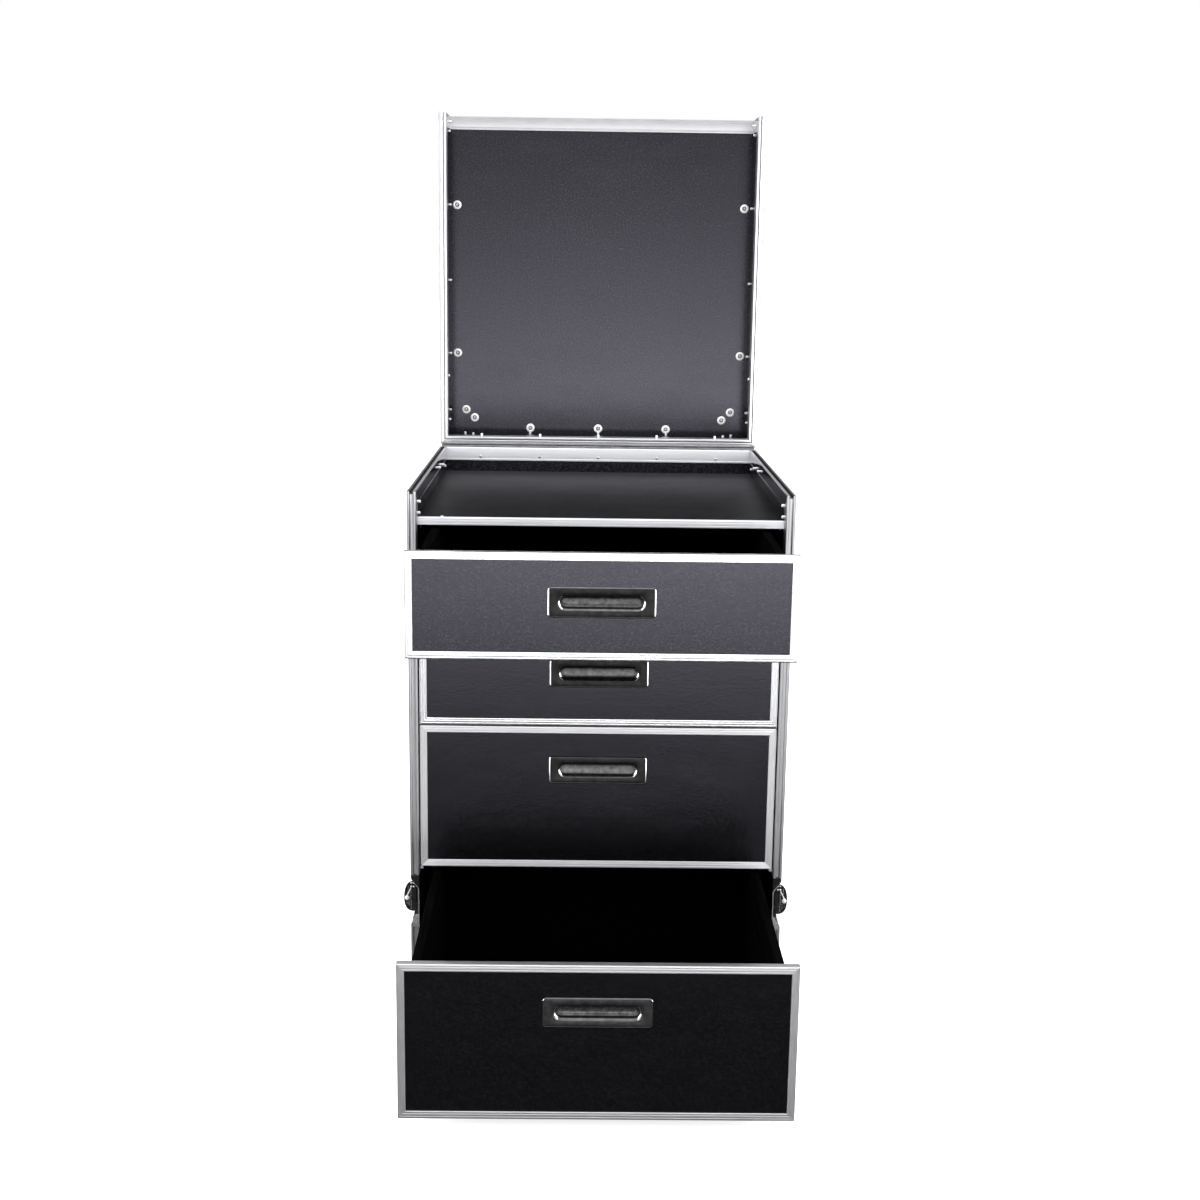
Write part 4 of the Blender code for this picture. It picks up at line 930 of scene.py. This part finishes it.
def dish_mesh(sign):
    """Pressed dish: flange on the outside, pocket open at the front edge, its
    lower and upper ends sloped, more gently towards the front."""
    zs = [dish_z0 + 0.05, dish_z0 + 0.6]
    zs += [dish_z0 + 1.0 + 1.3 * i for i in range(20)]
    zs += [LATCH_Z + (dish_z0 + 26.0 - LATCH_Z) * (1 - i / 6) for i in range(1, 6)] + [LATCH_Z]
    zs = sorted(set([round(z, 4) for z in zs] + [round(2 * LATCH_Z - z, 4) for z in zs]))
    y_end = FRONT + 79.0
    ys = [FRONT + 0.05, FRONT + 0.5] + [FRONT + 1.5 + 2.2 * i for i in range(24)]
    ys += [FRONT + 54.5 + 1.2 * i for i in range(13)] + [FRONT + 71.5, FRONT + 75, y_end - 0.6, y_end - 0.05]

    def smooth(t):
        t = min(1.0, max(0.0, t))
        return t * t * (3 - 2 * t)

    def depth(y, z):
        into = y - FRONT
        run = 6.5 + 16.0 * (1 - smooth(into / 18.0))
        end = min(z - dish_z0, dish_z1 - z) - 3.2
        wall = smooth(end / run) if into < 18 else smooth(end / 6.5)
        rear = smooth((FRONT + 67.5 - y) / 9.0)
        return (POCKET_DEPTH + 0.0) * min(wall, 1.0) * rear

    bm = bmesh.new()
    outer, inner = [], []
    for y in ys:
        row_o, row_i = [], []
        for z in zs:
            d = depth(y, z)
            row_o.append(bm.verts.new((sign * (HW - 0.02 - d), y, z)))
            row_i.append(bm.verts.new((sign * (HW - 0.02 - d - 1.15), y, z)))
        outer.append(row_o)
        inner.append(row_i)
    for index, grid in enumerate((outer, inner)):
        for a, b in zip(grid, grid[1:]):
            for i in range(len(zs) - 1):
                face = bm.faces.new((a[i], a[i + 1], b[i + 1], b[i]))
                # Faces deep in the pocket, the back face and the upper slope near the front edge take the near-black
                # copy: painted shade.
                sunk = min(HW - abs(v.co.x) for v in face.verts)
                dark = index == 1 or sunk > 9.5 or (sunk > 1.0 and face.verts[0].co.z > LATCH_Z and face.verts[0].co.y < FRONT + 40)
                face.material_index = 1 if dark else 0
    last = len(zs) - 1
    for a, b, c, d in zip(outer, outer[1:], inner, inner[1:]):
        bm.faces.new((a[0], b[0], d[0], c[0]))
        bm.faces.new((a[last], b[last], d[last], c[last]))
    for row_o, row_i in ((outer[0], inner[0]), (outer[-1], inner[-1])):
        for i in range(last):
            bm.faces.new((row_o[i], row_o[i + 1], row_i[i + 1], row_i[i]))
    # Cheeks that close the front edge between the slopes and the front rail.
    floor_x = HW - POCKET_DEPTH - 1.15
    for part in ([z for z in zs if z < LATCH_Z], [z for z in zs if z > LATCH_Z]):
        line = [(HW - 0.3 - depth(ys[0], z) - 1.0, z) for z in part]
        line = [q for q in line if q[0] > floor_x + 0.05]
        inner_side = [(floor_x, z) for _, z in reversed(line)]
        ring = line + inner_side
        cheek = loft([[(sign * x, FRONT + y, z) for x, z in ring] for y in (0.08, 1.4)])
        # The upper cheek takes the painted shade too.
        for face in cheek.faces:
            face.material_index = 1 if part[0] > LATCH_Z else 0
        join(bm, cheek)
    return bm


def wing_outline(inset):
    """Half oval in (reach, z) from the barrel out, drawn in by an inset."""
    points = []
    near, far = 1.2 + inset * 0.8, WING_REACH - inset
    for i in range(33):
        t = -math.pi / 2 + math.pi * i / 32
        half = (WING_UP if t > 0 else WING_DOWN) - inset
        blunt = 0.66 if t > 0 else 0.62
        points.append((near + (far - near) * abs(math.cos(t)) ** blunt, half * math.copysign(abs(math.sin(t)) ** 0.92, math.sin(t))))
    return points


def wing_mesh(sign):
    """Pressed plate: thick rounded rim, sunk field, a raised middle."""
    rings = []
    steps = [(9.4, 1.0), (7.7, 1.0), (7.1, 0.45), (3.4, 0.45), (2.6, 1.5), (1.1, 1.7), (0.35, 1.4), (0.0, 0.7)]
    for inset, half in steps:
        rings.append((inset, -half))
    for inset, half in reversed(steps):
        rings.append((inset, half))
    return loft([[(sign * (PIVOT + u), AXIS_Y + y, LATCH_Z + WING_MID + z) for u, z in wing_outline(inset)] for inset, y in rings])


def stud_mesh():
    """Domed stud of the wing: a flat rim, then the crown."""
    return lathe([(0, 2.5), (1.5, 2.4), (2.7, 2.0), (3.4, 1.4), (3.7, 0.9), (4.1, 0.85), (4.2, 0.6), (4.2, 0.0), (0, 0.0)], 28)


for side, sign in (("left", -1), ("right", 1)):
    dish = piece("dish_" + side, dish_mesh(sign), "root", DISH, ["latch_dish_" + side], angle=40)
    # Second slot: the pocket's painted shade.
    dish.data.materials.append(POCKET)
    floor_x = HW - POCKET_DEPTH

    def at(depth):
        return sign * (floor_x + depth)

    turn_body = "latch_" + side
    wing_body = "latch_%s_wing" % side
    foot = bar((at(1.7), AXIS_Y, LATCH_Z), "X", 16.0, 2.4, 40, 0.6)
    bridge = box_mesh(at(2.4), at(4.7), AXIS_Y - 4.2, AXIS_Y + 4.2, LATCH_Z - 33.0, LATCH_Z + 33.0, 0.5)
    arm = box_mesh(at(0.8), at(3.2), AXIS_Y - 5.0, AXIS_Y + 5.0, LATCH_Z + 2, LATCH_Z + 33.4, 0.4)
    hook = box_mesh(at(0.7), at(3.25), AXIS_Y - 9.9, AXIS_Y + 4.9, LATCH_Z + 28.0, LATCH_Z + 33.3, 0.5)
    lugs = []
    for way in (-1, 1):
        lug = box_mesh(at(3.0), at(7.2), AXIS_Y - 3.5, AXIS_Y + 3.5, LATCH_Z + way * 29.4, LATCH_Z + way * 33.0, 0.3)
        lugs += [lug, bar((at(6.6), AXIS_Y, LATCH_Z + way * 31.2), "Z", 3.4, 3.6, 20, 0.4)]
    turner = combine("UNION", foot, bridge, arm, hook, *lugs)
    bores = bar((sign * PIVOT, AXIS_Y, LATCH_Z), "Z", 1.7, 80.0, 20, 0.1)
    piece("turner_" + side, combine("DIFFERENCE", turner, bores), turn_body, LATCH, ["latch_turn_" + side])
    hub = placed(rivet_head_mesh(3.4, 0.42), [((at(4.7), AXIS_Y, LATCH_Z), (sign, 0, 0))])
    piece("turner_rivet_" + side, hub, turn_body, LATCH)
    piece("wing_" + side, wing_mesh(sign), wing_body, WING, ["latch_wing_" + side])
    # The ribs take the bright dish plate on the near-black wing: painted highlights along the ridges.
    ribs = []
    for reach, up, down, r in ((7.6, 11.5, 24.5, 0.8), (11.2, -9.5, 19.5, 0.5), (14.4, -11.5, 16.5, 0.5), (12.4, 15.5, 2.5, 0.6)):
        for face in (-1, 1):
            ribs.append(bar((sign * (PIVOT + reach), AXIS_Y + face * 0.95, LATCH_Z + (up - down) / 2), "Z", r, up + down, 12, 0.4))
    piece("wing_ribs_" + side, join(ribs[0], *ribs[1:]), wing_body, DISH, ["latch_wing_" + side])
    # Return spring: short coils above the wing, and its leg to the stud, in a near-white finish that is a painted
    # highlight.
    coils = []
    for reach, z in ((3.2, 20.6), (7.3, 20.6), (3.2, 14.2), (7.3, 14.2)):
        for face in (-1, 1):
            coils.append(bar((sign * (PIVOT + reach), AXIS_Y + face * 1.0, LATCH_Z + z), "X", 1.25, 3.2, 14, 0.8))
    for k in range(6):
        for face in (-1, 1):
            coils.append(bar((sign * (PIVOT + 8.2 + 1.1 * k), AXIS_Y + face * 1.4, LATCH_Z + 11.0 - 2.3 * k), "Z", 0.85, 3.2, 12, 0.7))
    piece("wing_spring_" + side, join(coils[0], *coils[1:]), wing_body, WASHER, ["latch_wing_" + side])
    barrel = join(
        bar((sign * PIVOT, AXIS_Y, LATCH_Z), "Z", 2.12, 30.0, 24, 0.4),
        bar((sign * PIVOT, AXIS_Y, LATCH_Z + 22.4), "Z", 2.12, 12.6, 24, 0.4),
        bar((sign * PIVOT, AXIS_Y, LATCH_Z - 22.4), "Z", 2.12, 12.6, 24, 0.4),
    )
    piece("wing_barrel_" + side, barrel, wing_body, LATCH, ["latch_wing_" + side])
    piece("wing_pin_" + side, bar((sign * PIVOT, AXIS_Y, LATCH_Z), "Z", 1.3, 65.4, 20, 0.4), wing_body, WING, ["latch_wing_" + side])
    # The studs take the near-white finish: painted highlight.
    studs = placed(
        stud_mesh,
        [((sign * (PIVOT + 14.6), AXIS_Y - 0.4, LATCH_Z - 5.2), (0, -1, 0)), ((sign * (PIVOT + 14.6), AXIS_Y + 0.4, LATCH_Z - 5.2), (0, 1, 0))],
    )
    piece("wing_stud_" + side, studs, wing_body, WASHER)
    # Rolled lips where the dish laps the cut ends of the front rail, in the near-white finish: a painted highlight.
    lips = []
    for z, r in ((dish_z1 - 1.8, 1.6), (dish_z1 - 7.4, 1.5)):
        lips.append(bar((sign * 292.6, FRONT + 1.95, z), "X", r, 7.8, 16, 1.0))
    piece("dish_lips_" + side, join(lips[0], *lips[1:]), "root", WASHER, ["latch_dish_" + side])

# ================================================================ fasteners
def rivet_tail(r=2.3, h=4.8):
    def make():
        return lathe(
            [(0, h * 0.72), (r * 0.42, h * 0.74), (r * 0.5, h * 0.98), (r * 0.75, h), (r, h * 0.86), (r * 1.06, h * 0.5), (r * 0.92, h * 0.12), (r * 0.92, -0.2), (0, -0.2)],
            16,
        )
    return make


def washer():
    """Cup washer: domed ring in a near-white finish (painted highlight), a well painted dark (painted shade), and the
    screw head in the well.
    """
    ring = lathe([(3.9, 0.5), (4.2, 1.5), (5.0, 2.0), (6.6, 1.7), (7.8, 0.9), (8.2, 0.3), (8.2, 0.02), (3.9, 0.02)], 36)
    well = lathe([(0, 0.45), (3.8, 0.45), (3.8, 0.02), (0, 0.02)], 24)
    head = lathe([(0, 0.95), (0.6, 1.0), (0.75, 1.6), (1.5, 1.75), (2.4, 1.35), (2.7, 0.9), (2.7, 0.5), (0, 0.5)], 20)
    for mesh, index in ((well, 1), (head, 2)):
        for face in mesh.faces:
            face.material_index = index
    return join(ring, well, head)


def screw_head(r=4.4, h=2.4):
    def make():
        bm = lathe([(0, h * 0.55), (r * 0.16, h * 0.55), (r * 0.22, h * 0.98), (r * 0.5, h * 0.9), (r * 0.8, h * 0.6), (r, h * 0.1), (r, -0.2), (0, -0.2)], 20)
        return bm
    return make


lid_face, lid_outer = 399.95, 412.25
washers, tails, heads, dark = [], [], [], []
for s in (-1, 1):
    inward, outward = (-s, 0, 0), (s, 0, 0)
    dark.append(((s * 274.0, lid_face, 1174.0), (0, -1, 0)))
    for z in (1314.0, 1036.0):
        washers.append(((s * 273.0, lid_face, z), (0, -1, 0)))
    for z in (1314.0, 1174.0, 1036.0):
        heads.append(((s * 274.5, lid_outer, z), (0, 1, 0)))
        tails.append(((s * SIDE_IN, 388.0, z), inward))
        heads.append(((s * HW, 388.0, z), outward))
    for x, z in ((257.0, 927.0), (240.5, 911.5)):
        washers.append(((s * x, lid_face, z), (0, -1, 0)))
        heads.append(((s * x, lid_outer + 1.8, z), (0, 1, 0)))
        heads.append(((s * x, lid_outer - (z - 869.95), 868.1), (0, 0, -1)))
    for y, z in ((371.0, 929.0), (355.0, 912.0)):
        tails.append(((s * SIDE_IN, y, z), inward))
    for y, z in ((369.5, 927.0), (353.0, 911.5)):
        heads.append(((s * (HW + 1.8), y, z), outward))
    tails.append(((s * SIDE_IN, 334.0, 997.0), inward))
    heads.append(((s * HW, 326.0, 997.0), outward))
    tails.append(((s * (HW - RAIL_W), 372.0, 1464.0), inward))
    tails.append(((s * SIDE_IN, 372.0, 1447.0), inward))
    heads.append(((s * HW, 372.0, 1464.0), outward))
    heads.append(((s * HW, 372.0, 1450.0), outward))
    for x, y in ((257.0, 371.0), (240.5, 355.0)):
        tails.append(((s * x, y, 882.25), (0, 0, 1)))
for x in (-132.0, 0.0, 132.0):
    washers.append(((x, lid_face, 892.5), (0, -1, 0)))
    heads.append(((x, lid_outer, 892.5), (0, 1, 0)))
    tails.append(((x, 388.0, 882.25), (0, 0, 1)))
for x in (-222.0, -111.0, 0.0, 111.0, 222.0):
    tails.append(((x, 321.0, 884.55), (0, 0, 1)))
# The washer rings take the near-white finish: painted highlight.
rings = piece("lid_panel_washers", placed(washer, washers), "lid", WASHER)
# Second slot: the wells' painted shade.
rings.data.materials.append(WELL_SHADE)
rings.data.materials.append(DISH)
piece("lid_panel_rivets_dark", placed(rivet_tail(), dark), "lid", CUP)
piece("lid_wall_rivet_tails", placed(rivet_tail(), tails), "lid", RIVET)
piece("lid_rivet_heads", placed(rivet_head_mesh(), heads), "lid", RIVET)

tails, heads, screws, dish_rivets = [], [], [], []
for s in (-1, 1):
    inward, outward = (-s, 0, 0), (s, 0, 0)
    for y, z in ((-278.0, 846.5), (-286.0, 830.0), (166.0, 848.0), (93.0, 852.0)):
        tails.append(((s * (HW - RAIL_W), y, z), inward))
    tails.append(((s * SIDE_IN, 235.0, 837.0), inward))
    tails.append(((s * (HW - RAIL_W), -285.8, 248.5), inward))
    for y in (-278.0, -93.0, 93.0, 235.0):
        heads.append(((s * HW, y, 851.0), outward))
    for z in (290.0, 440.0, 590.0, 740.0, 830.0):
        heads.append(((s * HW, FRONT + 15.0, z), outward))
    for z in (120.0, 40.0):
        heads.append(((s * HW, FRONT + 15.0, z), outward))
    for y in (-180.0, -60.0, 60.0, 180.0):
        heads.append(((s * HW, y, 22.0), outward))
    for reach, z in ((43.0, 57.0), (59.5, 41.5)):
        heads.append(((s * (HW + 1.8), REAR - reach, z), outward))
        heads.append(((s * (HW - reach), REAR + 1.8, z), (0, 1, 0)))
    for y, z in ((FRONT + 74.0, dish_z0 + 4.0), (FRONT + 74.0, dish_z1 - 4.0), (FRONT + 73.5, LATCH_Z), (FRONT + 30.0, dish_z0 + 3.2), (FRONT + 30.0, dish_z1 - 3.2)):
        dish_rivets.append(((s * HW, y, z), outward))
    for z in (130.0, 290.0, 450.0, 610.0, 770.0):
        heads.append(((s * HW, REAR - 22.0, z), outward))
        heads.append(((s * (HW - 22.0), REAR, z), (0, 1, 0)))
    screws.append(((s * SIDE_IN, -212.0, 796.0), inward))
for x in (-180.0, -60.0, 60.0, 180.0):
    heads.append(((x, REAR, 22.0), (0, 1, 0)))
piece("dish_rivets", placed(rivet_head_mesh(2.6, 1.2), dish_rivets), "root", RIVET)
piece("rim_rivet_tails", placed(rivet_tail(), tails), "root", RIVET)
piece("body_rivet_heads", placed(rivet_head_mesh(), heads), "root", RIVET)
rear_screws = [((x, REAR - RAIL_W, 849.0), (0, -1, 0)) for x in (-222.0, -111.0, 0.0, 111.0, 222.0)]
piece("rear_rail_screws", placed(screw_head(2.6, 1.6), rear_screws + screws), "root", SCREW)
hinge_heads = [((x, 304.5, 849.0), (0, 1, 0)) for x in (-222.0, -111.0, 0.0, 111.0, 222.0)]
piece("hinge_rivets_body", placed(rivet_head_mesh(3.4, 1.4), hinge_heads), "root", RIVET)
hinge_heads = [((x, 304.5, LID_Z0 + 17.0), (0, 1, 0)) for x in (-222.0, -111.0, 0.0, 111.0, 222.0)]
piece("hinge_rivets_lid", placed(rivet_head_mesh(3.4, 1.4), hinge_heads), "lid", RIVET, move=LID_OPEN)
piece("table_edging_screw", placed(screw_head(4.6, 2.8), [((-247.0, -283.0, 823.0), (0, 0, 1))]), "root", SCREW)

# ================================================================ floor
floor_bm = bmesh.new()
bmesh.ops.create_circle(floor_bm, cap_ends=True, radius=40.0, segments=64)
floor_mesh = bpy.data.meshes.new("floor")
floor_bm.to_mesh(floor_mesh)
floor_bm.free()
floor = bpy.data.objects.new("floor", floor_mesh)
scene.collection.objects.link(floor)
floor.location.z = -0.0004
f = bpy.data.materials.new("floor_white")
f.use_nodes = True
nodes, links = f.node_tree.nodes, f.node_tree.links
shader = nodes["Principled BSDF"]
shader.inputs["Base Color"].default_value = (0.80, 0.80, 0.80, 1.0)
shader.inputs["Roughness"].default_value = 0.9
shader.inputs["Specular IOR Level"].default_value = 0.1
shader.inputs["Emission Color"].default_value = (1.0, 1.0, 1.0, 1.0)
shader.inputs["Emission Strength"].default_value = 0.75
floor_mesh.materials.append(f)
floor.visible_glossy = False
floor.visible_diffuse = False
floor.visible_shadow = False

# ================================================================ light
scene.view_settings.view_transform = "Standard"
scene.view_settings.look = "None"
scene.view_settings.exposure = 0.0
scene.view_settings.gamma = 1.0

ROOM = [(-90, 0.04), (-30, 0.04), (-20, 0.08), (-10, 0.28), (3, 0.34), (9, 0.60), (16, 1.2), (30, 1.9), (60, 1.9), (90, 1.8)]
PANEL_LIGHT = [(-90, 0.0), (-22, 0.0), (-17, 0.12), (-13, 0.88), (-9, 5.9), (-4, 3.4), (2, 0.5), (7, 0.0), (90, 0.0)]
REAR_LIGHT = [(-90, 0.0), (-40, 0.05), (-26, 0.9), (-12, 1.5), (-5, 1.2), (0, 0.2), (4, 0.0), (90, 0.0)]
world = bpy.data.worlds.new("studio")
scene.world = world
world.use_nodes = True
nodes, links = world.node_tree.nodes, world.node_tree.links
for node in list(nodes):
    nodes.remove(node)
output = nodes.new("ShaderNodeOutputWorld")
mix = nodes.new("ShaderNodeMixShader")
white = nodes.new("ShaderNodeBackground")
white.inputs["Color"].default_value = (1, 1, 1, 1)
white.inputs["Strength"].default_value = 1.0
room = nodes.new("ShaderNodeBackground")
room.inputs["Color"].default_value = (1.0, 1.0, 1.01, 1)
coord = nodes.new("ShaderNodeTexCoord")
split = nodes.new("ShaderNodeSeparateXYZ")
links.new(coord.outputs["Generated"], split.inputs[0])


def calc(operation, a, b=None):
    node = nodes.new("ShaderNodeMath")
    node.operation = operation
    for i, x in enumerate((a, b)):
        if isinstance(x, (int, float)):
            node.inputs[i].default_value = x
        elif x is not None:
            links.new(x, node.inputs[i])
    return node.outputs[0]


def fade(value, start, end, smooth=True):
    """1 at start, 0 at end."""
    node = nodes.new("ShaderNodeMapRange")
    node.interpolation_type = "SMOOTHSTEP" if smooth else "LINEAR"
    node.inputs["From Min"].default_value = min(start, end)
    node.inputs["From Max"].default_value = max(start, end)
    node.inputs["To Min"].default_value = 1.0 if start < end else 0.0
    node.inputs["To Max"].default_value = 0.0 if start < end else 1.0
    links.new(value, node.inputs["Value"])
    return node.outputs["Result"]


def by_height(elevation, stops, top):
    """Brightness against elevation in degrees, from a list of stops."""
    ramp = nodes.new("ShaderNodeValToRGB")
    elements = ramp.color_ramp.elements
    while len(elements) > 1:
        elements.remove(elements[-1])
    for i, (degrees, value) in enumerate(stops):
        element = elements[0] if i == 0 else elements.new((degrees + 90) / 180)
        element.position = (degrees + 90) / 180
        element.color = (value / top, value / top, value / top, 1)
    links.new(calc("DIVIDE", calc("ADD", elevation, 90.0), 180.0), ramp.inputs["Fac"])
    return calc("MULTIPLY", ramp.outputs["Color"], top)


height = calc("MULTIPLY", calc("ARCSINE", split.outputs["Z"]), 180 / math.pi)
aside = calc("MULTIPLY", calc("ARCTAN2", split.outputs["X"], calc("MULTIPLY", split.outputs["Y"], -1.0)), 180 / math.pi)
# A dim room, brighter overhead, with a dark flag low behind the case.
room_light = by_height(height, ROOM, 4.0)
behind = calc("SUBTRACT", 1.0, fade(calc("ABSOLUTE", aside), 105.0, 140.0))
flag = calc("MULTIPLY", calc("MULTIPLY", fade(height, 4.0, 0.0), fade(height, 40.0, 62.0)), behind)
room_light = calc("MULTIPLY", room_light, calc("SUBTRACT", 1.0, calc("MULTIPLY", flag, 0.72)))
# A soft low panel behind, so that the back of the case reads too.
rear_panel = by_height(height, REAR_LIGHT, 4.0)
rear_panel = calc("MULTIPLY", rear_panel, calc("SUBTRACT", 1.0, fade(calc("ABSOLUTE", aside), 100.0, 145.0)))
room_light = calc("ADD", room_light, rear_panel)
# A wide low panel in front, a little stronger on the right.
panel = by_height(height, PANEL_LIGHT, 8.0)
panel = calc("MULTIPLY", panel, fade(calc("ABSOLUTE", calc("SUBTRACT", aside, 1.5)), 11.0, 30.0))
panel = calc("MULTIPLY", panel, calc("ADD", 1.0, calc("MULTIPLY", split.outputs["X"], 0.9)))
links.new(calc("ADD", room_light, panel), room.inputs["Strength"])
path = nodes.new("ShaderNodeLightPath")
links.new(path.outputs["Is Camera Ray"], mix.inputs["Fac"])
links.new(room.outputs[0], mix.inputs[1])
links.new(white.outputs[0], mix.inputs[2])
links.new(mix.outputs[0], output.inputs["Surface"])


def softbox(name, location, target, size_x, size_y, power):
    light = bpy.data.lights.new(name, "AREA")
    light.shape = "RECTANGLE"
    light.size, light.size_y = size_x, size_y
    light.energy = power
    obj = bpy.data.objects.new(name, light)
    scene.collection.objects.link(obj)
    obj.location = location
    way = Vector(target) - Vector(location)
    obj.rotation_euler = way.to_track_quat("-Z", "Y").to_euler()
    obj.visible_camera = False
    return obj


softbox("softbox_left", (-2.6, -1.0, 0.75), (0, -0.2, 0.75), 0.7, 2.4, 54.0)
softbox("softbox_right", (2.6, -1.0, 0.75), (0, -0.2, 0.75), 0.7, 2.4, 54.0)
softbox("softbox_top", (0.0, -1.2, 3.1), (0, -0.1, 0.8), 2.2, 1.2, 16.0)
softbox("softbox_rear_left", (-2.6, 2.1, 1.3), (0, 0.2, 0.7), 1.0, 1.8, 34.0)
softbox("softbox_rear_right", (2.6, 2.1, 1.3), (0, 0.2, 0.7), 1.0, 1.8, 34.0)

# ================================================================ camera
turn = (
    Matrix.Rotation(math.radians(-0.711), 3, "Z")
    @ Matrix.Rotation(math.radians(-11.851), 3, "X")
    @ Matrix.Rotation(math.radians(-0.788), 3, "Y")
)
right, forward, up = turn.col[0], turn.col[1], turn.col[2]
camera_data = bpy.data.cameras.new("camera")
camera_data.sensor_fit = "HORIZONTAL"
camera_data.sensor_width = 36.0
camera_data.lens = 49.353
camera_data.clip_start, camera_data.clip_end = 0.05, 200.0
camera = bpy.data.objects.new("camera", camera_data)
scene.collection.objects.link(camera)
pose = Matrix((
    (right.x, up.x, -forward.x, -0.031456),
    (right.y, up.y, -forward.y, -2.812095),
    (right.z, up.z, -forward.z, 1.224913),
    (0, 0, 0, 1),
))
camera.matrix_world = pose
scene.camera = camera

bpy.context.view_layer.update()
